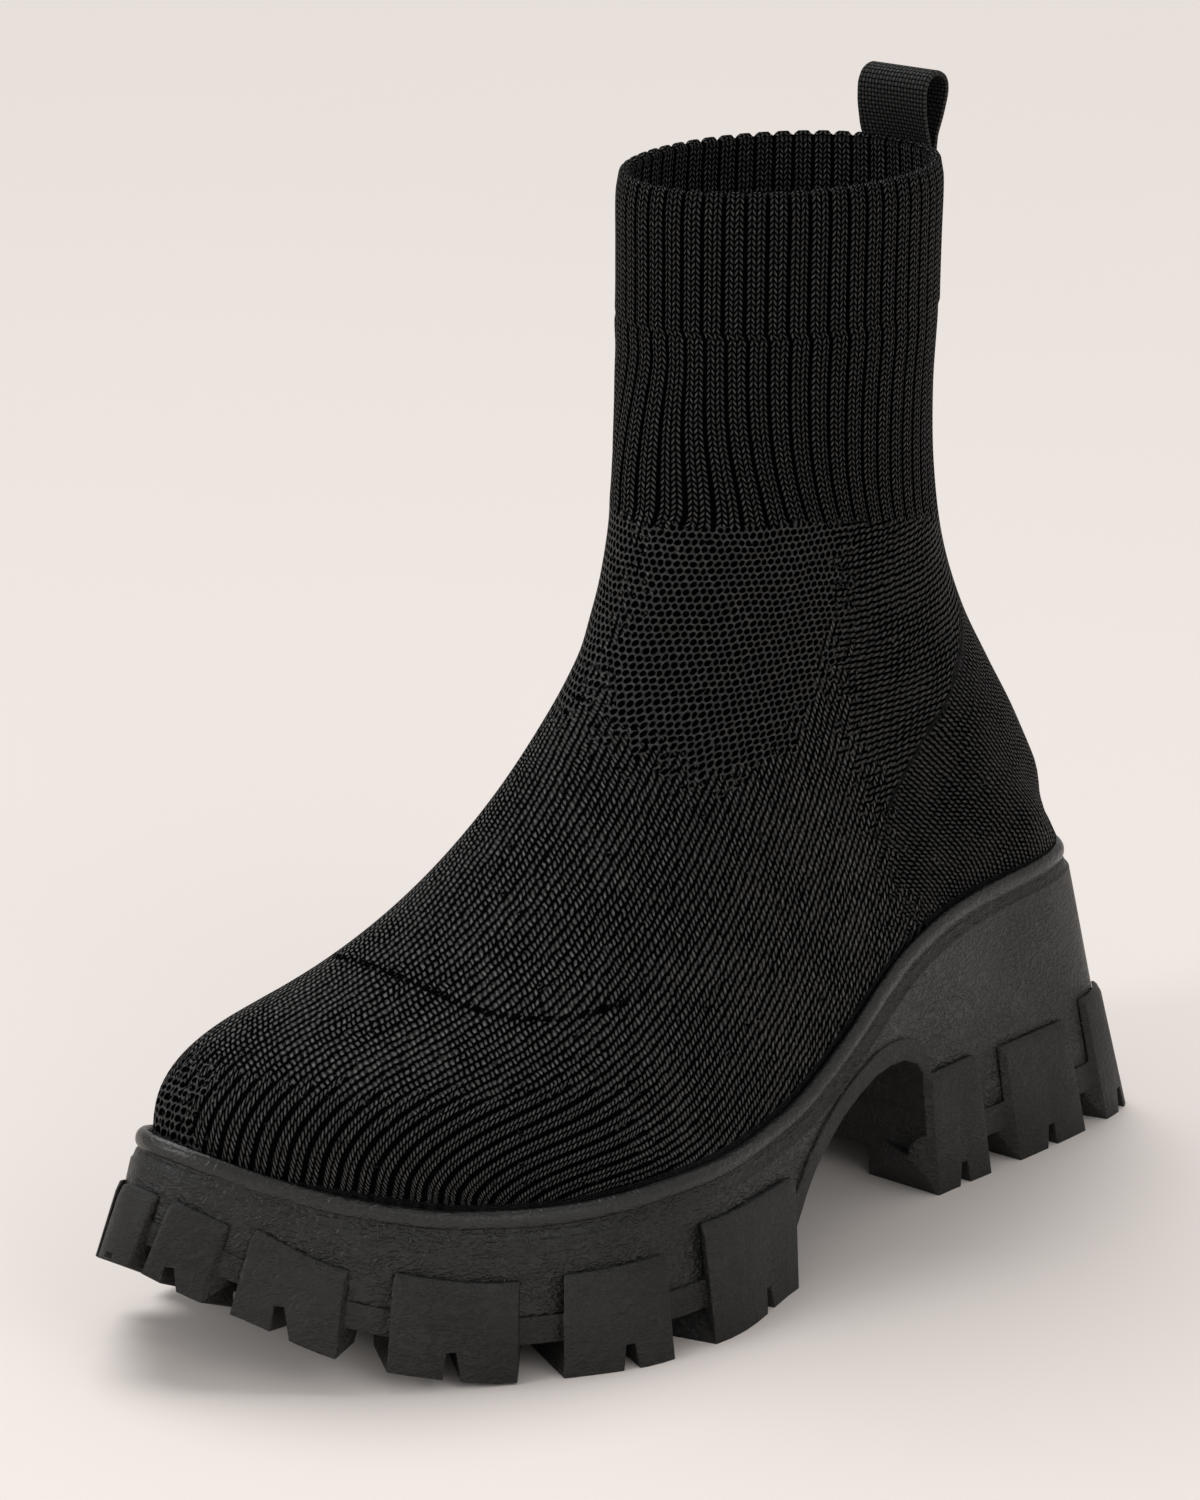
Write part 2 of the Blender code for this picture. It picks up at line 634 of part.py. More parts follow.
def build_upper():
    """Hollow sock with a real wall, open at the collar and underneath."""
    rows = upper_rows()
    total, count = rows.shape[:2]
    last_foot = FOOT_ROWS - 1
    index = np.arange(total * count).reshape(total, count)
    index[last_foot:, -1] = index[last_foot:, 0]
    verts = rows.reshape(-1, 3)
    faces = []
    for r in range(total - 1):
        for k in range(count - 1):
            corners = (index[r, k], index[r, k + 1], index[r + 1, k + 1], index[r + 1, k])
            faces.append(corners)
    edge = list(index[0]) + list(index[1:last_foot + 1, -1]) + list(index[last_foot - 1:0:-1, 0])
    skirt = np.arange(len(edge)) + len(verts)
    drop = np.array([0, 0, BED_DEPTH])
    verts = np.concatenate([verts, verts[edge] - drop])
    for k in range(len(edge)):
        nxt = (k + 1) % len(edge)
        faces.append((edge[k], skirt[k], skirt[nxt], edge[nxt]))
    return thicken("upper", verts, faces, edge, skirt)


def thicken(name, verts, faces, edge, skirt):
    """Give the sock's outer face an inner face one wall inward."""
    mesh = bpy.data.meshes.new(name)
    mesh.from_pydata([tuple(v) for v in verts], [], [tuple(int(c) for c in f) for f in faces])
    bm = bmesh.new()
    bm.from_mesh(mesh)
    loose = [v for v in bm.verts if not v.link_faces]
    bmesh.ops.recalc_face_normals(bm, faces=bm.faces)
    bm.verts.ensure_lookup_table()
    middle = np.asarray(verts).mean(axis=0)
    lead = bm.verts[int(edge[0])]
    if lead.normal.dot(lead.co - type(lead.co)(middle)) < 0:
        bmesh.ops.reverse_faces(bm, faces=bm.faces)
    bm.normal_update()
    flat = set(int(i) for i in edge) | set(int(i) for i in skirt)
    pairs = []
    for vert in list(bm.verts):
        if vert in loose:
            continue
        normal = vert.normal.copy()
        if vert.index in flat:
            normal.z = 0
            normal.normalize()
        pairs.append((vert, vert.co - normal * KNIT_WALL))
    twin = {vert: bm.verts.new(place) for vert, place in pairs}
    rim = [e for e in bm.edges if e.is_boundary]
    for face in list(bm.faces):
        bm.faces.new([twin[v] for v in reversed(face.verts)])
    for e in rim:
        a, b = e.verts
        bm.faces.new([a, b, twin[b], twin[a]])
    bmesh.ops.delete(bm, geom=loose, context="VERTS")
    bmesh.ops.remove_doubles(bm, verts=bm.verts, dist=MERGE)
    bmesh.ops.recalc_face_normals(bm, faces=bm.faces)
    bm.to_mesh(mesh)
    bm.free()
    obj = bpy.data.objects.new(name, mesh)
    bpy.context.scene.collection.objects.link(obj)
    return obj


def build_insole(stations):
    """Sheet that lies on the foot bed inside the sock's wall."""
    bed = stations.lip_z - BED_DEPTH + PIECE_GAP
    rings = [
        stations.inner_ring(INSOLE_INSET, bed),
        stations.inner_ring(INSOLE_INSET, bed + INSOLE_THICKNESS * INSOLE_EDGE_SHARE),
        stations.inner_ring(INSOLE_INSET + INSOLE_EDGE_ROUNDING, bed + INSOLE_THICKNESS),
    ]
    return loft_rings("insole", rings)


def build_pull_loop():
    """Webbing strip folded into a loop, both ends against the cuff's back."""
    rim = LEG_SECTIONS[-2]
    start_x = rim[0] * LENGTH_UNIT - CUFF_STEP
    rim_z = LEG_SECTIONS[-1][1] * HEIGHT_UNIT
    path = np.array(LOOP_PATH) / 1000
    steps = np.linspace(0, 1, len(path))
    fine = np.linspace(0, 1, 2 * len(path))
    middle = np.column_stack([smooth(steps, path[:, 0], fine), smooth(steps, path[:, 1], fine)])
    along = np.gradient(middle, axis=0)
    along /= np.linalg.norm(along, axis=1)[:, None]
    normal = np.column_stack([-along[:, 1], along[:, 0]])
    half = LOOP_WIDTH / 2
    half_width = COLLAR_HALF_WIDTH * WIDTH_UNIT + CUFF_STEP
    radius = half_width ** 2 / (COLLAR_HALF_LENGTH * LENGTH_UNIT + CUFF_STEP)
    across = np.linspace(-half, half, 5)
    verts = []
    for k in range(len(middle)):
        ring = []
        curve = 1 - np.clip((middle[k][1] - LOOP_BOW_START) / LOOP_BOW_FADE, 0, 1)
        for side, sign in ((across, 1), (across[::-1], -1)):
            for y in side:
                bow = curve * (radius - math.sqrt(radius ** 2 - y ** 2))
                spot = middle[k] + normal[k] * sign * LOOP_THICKNESS / 2
                ring.append((start_x + spot[0] + bow, y, rim_z + spot[1]))
        verts.extend(ring)
    count = 2 * len(across)
    faces = [tuple(range(count)), tuple(range(len(verts) - count, len(verts)))]
    for r in range(len(middle) - 1):
        for k in range(count):
            nxt = (k + 1) % count
            low = r * count
            faces.append((low + k, low + nxt, low + count + nxt, low + count + k))
    return add_object("pull_loop", verts, faces)


def finish(obj, slot, colour, roughness):
    """Give an object its own plain material."""
    material = bpy.data.materials.new(slot)
    material.use_nodes = True
    shader = material.node_tree.nodes["Principled BSDF"]
    shader.inputs["Base Color"].default_value = (*colour, 1.0)
    shader.inputs["Roughness"].default_value = roughness
    shader.inputs["Metallic"].default_value = 0.0
    material.diffuse_color = (*colour, 1.0)
    obj.data.materials.clear()
    obj.data.materials.append(material)


def centre_on_floor(objects):
    """Put the whole shoe's bounding box centre over the origin, lugs on z = 0."""
    corners = np.array([tuple(v.co) for obj in objects for v in obj.data.vertices])
    low = corners.min(axis=0)
    high = corners.max(axis=0)
    for obj in objects:
        for vert in obj.data.vertices:
            vert.co.x -= (low[0] + high[0]) / 2
            vert.co.y -= (low[1] + high[1]) / 2
            vert.co.z -= low[2]


for old in list(bpy.data.objects):
    bpy.data.objects.remove(old)
ring_stations = Stations(np.arange(RING_STEPS) * 360 / RING_STEPS)
midsole = build_midsole(ring_stations)
outsole = build_outsole(ring_stations)
upper = build_upper()
insole = build_insole(Stations(np.arange(INSOLE_STEPS) * 360 / INSOLE_STEPS))
pull_loop = build_pull_loop()
finish(midsole, "midsole_rubber", (0.036, 0.035, 0.034), 0.62)
finish(outsole, "outsole_rubber", (0.033, 0.032, 0.031), 0.66)
finish(upper, "knit", (0.012, 0.012, 0.013), 0.90)
finish(insole, "insole_fabric", (0.016, 0.016, 0.017), 0.92)
finish(pull_loop, "webbing", (0.015, 0.015, 0.016), 0.82)
centre_on_floor([midsole, outsole, upper, insole, pull_loop])
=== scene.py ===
"""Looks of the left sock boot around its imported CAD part.

The knit upper, the midsole, the insole and the pull loop are remade here with fine
surfaces on the CAD part's own lines; the lugged outsole is the CAD solid with rounded edges.
Metres, +Z up, toe toward +X, outer side toward +Y, floor at z = 0.
"""
from __future__ import annotations

import json
import logging
import math
from collections.abc import Callable
from dataclasses import dataclass
from enum import Enum

import bmesh
import bpy
import numpy as np
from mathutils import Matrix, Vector

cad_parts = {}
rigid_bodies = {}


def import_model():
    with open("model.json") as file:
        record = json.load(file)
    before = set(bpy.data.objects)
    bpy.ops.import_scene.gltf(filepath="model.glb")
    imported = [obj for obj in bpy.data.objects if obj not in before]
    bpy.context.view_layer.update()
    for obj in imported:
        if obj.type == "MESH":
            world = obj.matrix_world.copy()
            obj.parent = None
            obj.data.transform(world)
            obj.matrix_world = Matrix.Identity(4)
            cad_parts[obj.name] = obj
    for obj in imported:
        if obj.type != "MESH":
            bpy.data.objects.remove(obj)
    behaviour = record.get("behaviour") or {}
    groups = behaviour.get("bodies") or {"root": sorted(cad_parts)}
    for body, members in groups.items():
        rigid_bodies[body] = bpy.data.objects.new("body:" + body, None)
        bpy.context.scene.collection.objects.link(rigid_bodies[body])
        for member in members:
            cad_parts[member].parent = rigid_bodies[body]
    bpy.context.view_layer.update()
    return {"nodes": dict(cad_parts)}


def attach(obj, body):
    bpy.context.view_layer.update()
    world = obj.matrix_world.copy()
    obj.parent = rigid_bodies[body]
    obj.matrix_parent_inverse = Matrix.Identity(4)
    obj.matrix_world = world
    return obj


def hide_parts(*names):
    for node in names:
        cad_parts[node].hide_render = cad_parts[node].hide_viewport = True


log = logging.getLogger("sock_boot")

MM = 0.001
TURN = 2 * math.pi
# way from the tables' origin, at the heel's back, to the frame's, mm
SHIFT = np.array([-142.5, -7.745, 0.0])

# x of the lip's back and tip, mm
LIP_BACK, LIP_TIP = 18.0, 271.0
# numbers of the columns that are read from OUTLINE and from HEIGHTS
GROUND_Y, LIP_Y = 1, 2
LIP_Z, SPRING_Z = 1, 2
# angle in degrees from the toe tip toward the outer side, ground outline y, lip outline y, mm
OUTLINE = np.array([
    (0, -20.0, -18.0), (8, -13.5, -9.0), (15, -6.0, -1.3), (25, 7.0, 10.0), (36, 25.5, 23.1),
    (46, 40.0, 35.1), (56, 52.0, 45.3), (66, 61.5, 50.1), (74, 63.0, 50.9), (86, 55.5, 47.0),
    (100, 47.0, 41.5), (115, 41.5, 34.8), (130, 41.0, 31.0), (145, 39.5, 29.8), (158, 36.8, 26.0),
    (168, 30.0, 18.0), (174, 20.5, 9.8), (180, 0.0, 0.0), (186, -20.5, -9.8), (192, -30.0, -18.0),
    (202, -37.0, -26.0), (215, -39.0, -29.6), (230, -39.5, -30.0), (245, -40.0, -30.8),
    (260, -41.0, -32.0), (274, -43.0, -33.6), (286, -45.0, -35.2), (304, -47.5, -37.6),
    (314, -47.5, -37.8), (324, -46.0, -36.6), (335, -37.4, -32.6), (345, -30.4, -27.6),
    (352, -25.2, -23.4),
])
# x along the shoe, top of the lip, floor clearance of the toe spring, mm
HEIGHTS = np.array([
    (0, 69.0, 0.0), (18, 68.5, 0.0), (50, 67.0, 0.0), (75, 64.5, 0.0), (90, 61.0, 0.0),
    (104, 55.5, 0.0), (117, 49.5, 0.0), (131, 43.5, 0.0), (147, 38.5, 0.0), (167, 36.3, 0.0),
    (207, 36.0, 0.0), (231, 36.8, 0.5), (254, 41.0, 5.0), (262, 43.3, 8.0), (272, 46.5, 13.7),
    (278, 48.0, 16.5), (285, 50.0, 21.5),
])
# side view of the parting between tread and midsole: x, height over the toe spring, mm
PARTING = np.array([
    (-8, 15.0), (84.6, 15.0), (85.4, 22.0), (86.0, 31.0), (88.0, 36.4), (92.0, 39.4),
    (97.0, 41.2), (103.4, 42.0), (110.6, 41.8), (119.0, 39.8), (127.6, 36.6), (134.8, 32.4),
    (141.4, 27.0), (147.0, 20.4), (151.6, 13.5), (190, 13.5), (231, 13.5), (293, 13.5),
])
# half widths under this one follow the lip, mm
NARROWEST = 28.0
# feather x, top x, top z, widest half width (0 follows the lip), drop, power on top
FOOT_SECTIONS = np.array([
    (236, 270.6, 46.5, 0.0, 2.0, 2.20), (230, 271.0, 54.0, 0.0, 4.0, 2.15),
    (221, 265.2, 62.6, 0.0, 6.0, 2.10), (208, 250.1, 69.6, 0.0, 8.0, 2.05),
    (192, 228.6, 75.1, 0.0, 9.0, 2.00), (174, 206.4, 83.9, 0.0, 10.0, 2.00),
    (154, 187.9, 95.4, 0.0, 11.0, 2.00), (131, 172.5, 108.7, 0.0, 13.0, 2.00),
    (104, 160.8, 123.1, 0.0, 17.0, 2.05), (75, 152.5, 136.3, 32.9, 24.0, 2.15),
    (47, 148.1, 149.3, 32.9, 36.0, 2.25), (28, 145.0, 160.0, 33.8, 52.0, 2.35),
    (18.4, 142.4, 168.7, 34.4, 62.0, 2.40),
])
# back x, back z, front x, front z, half width, share of the widest level, power on top
LEG_SECTIONS = np.array([
    (14.0, 78.0, 143.4, 171.0, 33.3, 0.43, 2.40), (18.2, 89.0, 142.7, 175.0, 32.2, 0.44, 2.38),
    (29.5, 104.0, 142.0, 180.0, 31.2, 0.46, 2.34), (43.2, 122.0, 140.9, 185.0, 30.6, 0.48, 2.28),
    (52.8, 141.0, 139.4, 190.0, 31.2, 0.49, 2.20), (57.7, 162.0, 138.0, 194.5, 32.7, 0.50, 2.10),
    (59.0, 184.0, 137.4, 199.5, 33.4, 0.50, 2.02), (57.9, 203.6, 137.0, 203.6, 33.2, 0.50, 2.00),
    (57.9, 205.0, 136.4, 205.0, 32.7, 0.50, 2.00), (57.5, 220.0, 136.3, 220.0, 32.6, 0.50, 2.00),
    (57.1, 232.5, 136.3, 231.3, 32.6, 0.50, 2.00), (57.7, 236.4, 135.7, 235.2, 32.0, 0.50, 2.00),
])
# share of the foot from toe to heel, y of the top line, mm
TOP_LINE = np.array([(0.0, -18.0), (0.1, -15.6), (0.25, -12.0), (0.4, -7.3), (0.6, -4.5),
                     (0.8, -1.6), (1.0, 0.0)])
# crease's middle round from the front and up the sides, its length, width and depth, mm
CREASES = np.array([
    (18.0, 156.0, 22.0, 5.0, 0.45), (-22.0, 162.0, 22.0, 5.5, 0.25), (34.0, 171.0, 22.0, 5.0, 0.45),
    (66.0, 178.0, 20.0, 5.0, 0.40), (-46.0, 172.0, 22.0, 5.0, 0.40),
])
# open mesh: height of its lower edge, the edge's dip, the dip's place round and its width, the
# fade over that edge, at the front and round the sides, mm
MESH_EDGE, MESH_FADE = (121.0, 14.0, 38.0, 22.0), (-9.0, 11.0)
MESH_FRONT, MESH_ROUND = (-16.0, 16.0), (40.0, 66.0)
# toe's patch of holes: fades along the shoe and round both ends, and its last row, mm
HOLES_ALONG, HOLES_INNER, HOLES_OUTER = (252.0, 272.0), (-60.0, -44.0), (-16.0, 8.0)
HOLES_RUN = 60.0
# heel's lines: fade along the shoe, the fade's lean with height and its level, mm
HEEL_FADE, HEEL_LEAN, HEEL_Z = (86.0, 120.0), 0.35, 110.0
# vamp's seam: way up at the front, its rise to the side, how far round that side is, where the
# rise stops and the fade of the seam's ends, mm
SEAM_RUN, SEAM_RISE, SEAM_SIDE, SEAM_LIMIT, SEAM_FADE = 59.0, 40.0, 47.0, 60.0, (36.0, 50.0)
# the toe's lift at its inner corner, its range along the shoe and its range across, mm
TOE_LIFT, TOE_LIFT_ALONG, TOE_LIFT_ACROSS = 4.5, (212.0, 278.0), (-24.0, 34.0)
# way over the rolled rim per row and its limit in the knit's maps, mm
ROLL_STEP, ROLL_END = 0.8, 6.0
# rubber's wrinkles: stretch of the pattern, its bend in m, and scale, width and depth of folds
GRAIN_STRETCH, GRAIN_BEND = (0.75, 0.75, 1.45), 0.0032
GRAIN_FOLDS = ((330.0, 0.080, 1.0), (620.0, 0.095, 0.8))
# loop's mid line in side view: x ahead of the collar's back, z over the rim, mm
LOOP_PATH = np.array([
    (-1.35, -18.0), (-1.35, -9.0), (-1.20, -1.0), (0.4, 4.0), (1.9, 9.0), (2.3, 12.5),
    (1.1, 15.2), (-1.6, 16.2), (-4.4, 14.8), (-5.4, 11.6), (-4.7, 7.0), (-3.4, 2.0),
    (-2.98, -2.0), (-2.95, -9.0), (-2.95, -18.0),
])


class Slot(str, Enum):
    """Material slots named in the part's record."""

    MIDSOLE = "midsole_rubber"
    OUTSOLE = "outsole_rubber"
    KNIT = "knit"
    INSOLE = "insole_fabric"
    WEBBING = "webbing"


def smooth(points: np.ndarray, values: np.ndarray, at: np.ndarray) -> np.ndarray:
    """Cubic curve without overshoot through a table's points.

    Args:
        points: rising places of the table's rows.
        values: value of each row.
        at: places to read.

    Returns:
        The values at the places.
    """
    x = np.asarray(points, float)
    y = np.asarray(values, float)
    at = np.clip(np.asarray(at, float), x[0], x[-1])
    step = np.diff(x)
    slope = np.diff(y) / step
    lean = np.zeros_like(y)
    lean[0] = slope[0]
    lean[-1] = slope[-1]
    rising = slope[:-1] * slope[1:] > 0
    ahead = 2 * step[1:] + step[:-1]
    behind = step[1:] + 2 * step[:-1]
    safe_a = np.where(rising, slope[:-1], 1.0)
    safe_b = np.where(rising, slope[1:], 1.0)
    lean[1:-1] = np.where(rising, (ahead + behind) / (ahead / safe_a + behind / safe_b), 0.0)
    k = np.clip(np.searchsorted(x, at, side="right") - 1, 0, len(x) - 2)
    t = (at - x[k]) / step[k]
    start = (1 + 2 * t) * (1 - t) ** 2 * y[k] + t * (1 - t) ** 2 * step[k] * lean[k]
    end = t * t * (3 - 2 * t) * y[k + 1] + t * t * (t - 1) * step[k] * lean[k + 1]
    return start + end


def around(column: int, degrees: np.ndarray) -> np.ndarray:
    """Value of one OUTLINE column at angles that wrap round the sole.

    Args:
        column: the table's column.
        degrees: angles from the toe tip toward the outer side.

    Returns:
        The values, mm.
    """
    wrapped = np.concatenate([OUTLINE[-4:], OUTLINE, OUTLINE[:4]])
    wrapped[:4, 0] -= 360
    wrapped[-4:, 0] += 360
    return smooth(wrapped[:, 0], wrapped[:, column], np.mod(degrees, 360))


def height_at(x: np.ndarray, column: int) -> np.ndarray:
    """Lip height or toe spring at x, by its column in HEIGHTS, in mm."""
    return smooth(HEIGHTS[:, 0], HEIGHTS[:, column], x)


def ease(low: float, high: float, value: np.ndarray) -> np.ndarray:
    """Soft step from 0 at low to 1 at high."""
    t = np.clip((np.asarray(value, float) - low) / (high - low), 0, 1)
    return t * t * (3 - 2 * t)


def even_spacing(curve: np.ndarray, count: int) -> np.ndarray:
    """Resample a curve of points at even distances.

    Args:
        curve: the curve's points.
        count: number of points wanted.

    Returns:
        The new points.
    """
    run = np.concatenate([[0.0], np.cumsum(np.linalg.norm(np.diff(curve, axis=0), axis=1))])
    want = np.linspace(0, run[-1], count)
    return np.stack([np.interp(want, run, curve[:, k]) for k in range(3)], -1)


def spline_rows(rows: np.ndarray, knots: np.ndarray, at: np.ndarray) -> np.ndarray:
    """Smooth curve through rows of points.

    Args:
        rows: array whose first axis runs along the curve.
        knots: rising parameter of each row.
        at: parameters to read.

    Returns:
        Array with one row per parameter.
    """
    lean = np.empty_like(rows)
    lean[1:-1] = (rows[2:] - rows[:-2]) / (knots[2:] - knots[:-2])[:, None, None]
    lean[0] = (rows[1] - rows[0]) / (knots[1] - knots[0])
    lean[-1] = (rows[-1] - rows[-2]) / (knots[-1] - knots[-2])
    k = np.clip(np.searchsorted(knots, at, side="right") - 1, 0, len(knots) - 2)
    gap = (knots[k + 1] - knots[k])[:, None, None]
    t = ((at - knots[k]) / (knots[k + 1] - knots[k]))[:, None, None]
    start = (1 + 2 * t) * (1 - t) ** 2 * rows[k] + t * (1 - t) ** 2 * gap * lean[k]
    return start + t * t * (3 - 2 * t) * rows[k + 1] + t * t * (t - 1) * gap * lean[k + 1]


def lift_toe(points: np.ndarray) -> np.ndarray:
    """Raise the toe's inner corner of the sole a little, as in the photo.

    Args:
        points: points of the sole, mm.

    Returns:
        The raised points.
    """
    lifted = np.array(points, float)
    inner = 1 - ease(*TOE_LIFT_ACROSS, lifted[:, 1])
    lifted[:, 2] += TOE_LIFT * ease(*TOE_LIFT_ALONG, lifted[:, 0]) * inner
    return lifted


def make_piece(name: str, verts: np.ndarray, faces: list,
               node: str) -> bpy.types.Object:
    """Smooth-shaded mesh in the row frame that stands for a CAD node.

    Args:
        name: the piece's name.
        verts: points in mm, heel's back at x = 0.
        faces: corner numbers of each face.
        node: the CAD node it replaces.

    Returns:
        The new object.
    """
    mesh = bpy.data.meshes.new(name)
    mesh.from_pydata(((np.asarray(verts) + SHIFT) * MM).tolist(), [], faces)
    mesh.polygons.foreach_set("use_smooth", np.ones(len(mesh.polygons), bool))
    mesh.update()
    obj = bpy.data.objects.new(name, mesh)
    bpy.context.scene.collection.objects.link(obj)
    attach(obj, "root")
    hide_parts(node)
    return obj


def add_value(mesh: bpy.types.Mesh, name: str, values: np.ndarray) -> None:
    """Store one number per vertex for the materials to read."""
    layer = mesh.attributes.new(name, "FLOAT", "POINT")
    layer.data.foreach_set("value", np.asarray(values, np.float32).ravel())


def add_map(mesh: bpy.types.Mesh, name: str, pairs: np.ndarray) -> None:
    """Store one UV pair per face corner."""
    layer = mesh.uv_layers.new(name=name)
    layer.data.foreach_set("uv", np.asarray(pairs, np.float32).ravel())


def wire_step(kind: str, swap: bool = False) -> Callable[..., Wire]:
    """Method of a wire that places a math node.

    Args:
        kind: the math node's operation.
        swap: True where the wire comes after the other value.

    Returns:
        The method.
    """
    def place(wire: Wire, *others: Wire | float) -> Wire:
        """Result of the math node."""
        return wire.graph.math(kind, *((*others, wire) if swap else (wire, *others)))

    return place


class Wire:
    """Output of a node that takes plain arithmetic."""

    __add__, __mul__, __truediv__ = wire_step("ADD"), wire_step("MULTIPLY"), wire_step("DIVIDE")
    __sub__, __rsub__ = wire_step("SUBTRACT"), wire_step("SUBTRACT", True)
    __pow__, __abs__ = wire_step("POWER"), wire_step("ABSOLUTE")
    sine, cosine, most = wire_step("SINE"), wire_step("COSINE"), wire_step("MAXIMUM")
    fraction, whole, over = wire_step("FRACT"), wire_step("FLOOR"), wire_step("GREATER_THAN")

    def __init__(self, graph: Graph, socket: bpy.types.NodeSocket) -> None:
        """Note the tree's Graph and the node's socket."""
        self.graph, self.socket = graph, socket

    def twin(self, name: int | str) -> Wire:
        """Another output of the same node."""
        return Wire(self.graph, self.socket.node.outputs[name])


class Graph:
    """Short ways to place and join shader nodes in one node tree."""

    def __init__(self, tree: bpy.types.NodeTree) -> None:
        """Note the node tree."""
        self.tree = tree

    def feed(self, inputs: bpy.types.NodeInputs, values: dict) -> None:
        """Join sockets to wires, or give them plain values.

        Args:
            inputs: sockets of a node.
            values: wire or plain value by the socket's name or number.
        """
        for key, value in values.items():
            if isinstance(value, Wire):
                self.tree.links.new(value.socket, inputs[key])
            else:
                inputs[key].default_value = value

    def read(self, output: int | str, kind: str, values: dict | None = None,
             **settings: object) -> Wire:
        """Place a node and read one of its outputs.

        Args:
            output: the output's name or number.
            kind: the node's type.
            values: wire or plain value by the input's name or number.
            **settings: plain properties of the node.

        Returns:
            The output's wire.
        """
        made = self.tree.nodes.new(kind)
        for key, value in settings.items():
            setattr(made, key, value)
        self.feed(made.inputs, values or {})
        return Wire(self, made.outputs[output])

    def math(self, operation: str, *values: Wire | float) -> Wire:
        """Result of a math node on one or two values."""
        return self.read(0, "ShaderNodeMath", dict(enumerate(values)), operation=operation)

    def ramp(self, value: Wire, low: float, high: float, start: float = 0.0,
             end: float = 1.0) -> Wire:
        """Smooth step of a value.

        Args:
            value: the value.
            low: value at the step's start.
            high: value at the step's end.
            start: result at the step's start.
            end: result at the step's end.

        Returns:
            The result.
        """
        given = {"Value": value, "From Min": low, "From Max": high, "To Min": start, "To Max": end}
        return self.read("Result", "ShaderNodeMapRange", given, interpolation_type="SMOOTHSTEP")

    def mix(self, share: Wire, first: Wire | float, second: Wire | float) -> Wire:
        """Blend of two numbers by a share."""
        return self.read(0, "ShaderNodeMix", {0: share, 2: first, 3: second}, data_type="FLOAT")

    def tint(self, share: Wire, first: Wire | tuple, second: Wire | tuple) -> Wire:
        """Blend of two colours by a share."""
        pair = [c if isinstance(c, Wire) else (*c, 1) for c in (first, second)]
        return self.read(2, "ShaderNodeMix", {0: share, 6: pair[0], 7: pair[1]}, data_type="RGBA")

    def noise(self, place: Wire, scale: float, detail: float = 2.0) -> Wire:
        """Noise between 0 and 1 at a place."""
        given = {"Vector": place, "Scale": scale, "Detail": detail}
        return self.read("Fac", "ShaderNodeTexNoise", given)

    def attribute(self, name: str) -> Wire:
        """Number stored on the mesh under a name."""
        return self.read("Fac", "ShaderNodeAttribute", attribute_name=name)

    def place(self) -> Wire:
        """Place on the piece, m."""
        return self.read("Object", "ShaderNodeTexCoord")

    def split(self, vector: Wire) -> tuple[Wire, Wire]:
        """First two numbers of a vector."""
        first = self.read(0, "ShaderNodeSeparateXYZ", {0: vector})
        return first, first.twin(1)

    def split_map(self, name: str) -> tuple[Wire, Wire]:
        """The two numbers of a UV map."""
        return self.split(self.read(0, "ShaderNodeUVMap", uv_map=name))

    def bump(self, height: Wire, depth: float, strength: Wire | float, **more: Wire) -> Wire:
        """Normal of a relief whose depth is given in m."""
        given = {"Strength": strength, "Distance": depth, "Height": height, **more}
        return self.read("Normal", "ShaderNodeBump", given)


def new_group(name: str, inputs: dict, outputs: tuple[str, ...]) -> tuple:
    """Empty shader node group.

    Args:
        name: the group's name.
        inputs: default number of each input, None for a place.
        outputs: name of each number that it gives.

    Returns:
        A Graph on the group, its input wires by name and its output sockets.
    """
    group = bpy.data.node_groups.new(name, "ShaderNodeTree")
    for key, value in inputs.items():
        kind = "NodeSocketVector" if value is None else "NodeSocketFloat"
        socket = group.interface.new_socket(key, in_out="INPUT", socket_type=kind)
        if value is not None:
            socket.default_value = value
    for key in outputs:
        group.interface.new_socket(key, in_out="OUTPUT", socket_type="NodeSocketFloat")
    graph = Graph(group)
    entry = group.nodes.new("NodeGroupInput").outputs
    leave = group.nodes.new("NodeGroupOutput").inputs
    return graph, {key: Wire(graph, entry[key]) for key in inputs}, leave


def plain_material(name: str) -> tuple[bpy.types.Material, Graph, bpy.types.NodeInputs]:
    """New material with its Principled shader.

    Args:
        name: the material's name.

    Returns:
        The material, a Graph on its tree and the shader's inputs.
    """
    material = bpy.data.materials.new(name)
    material.use_nodes = True
    shader = material.node_tree.nodes["Principled BSDF"]
    return material, Graph(material.node_tree), shader.inputs


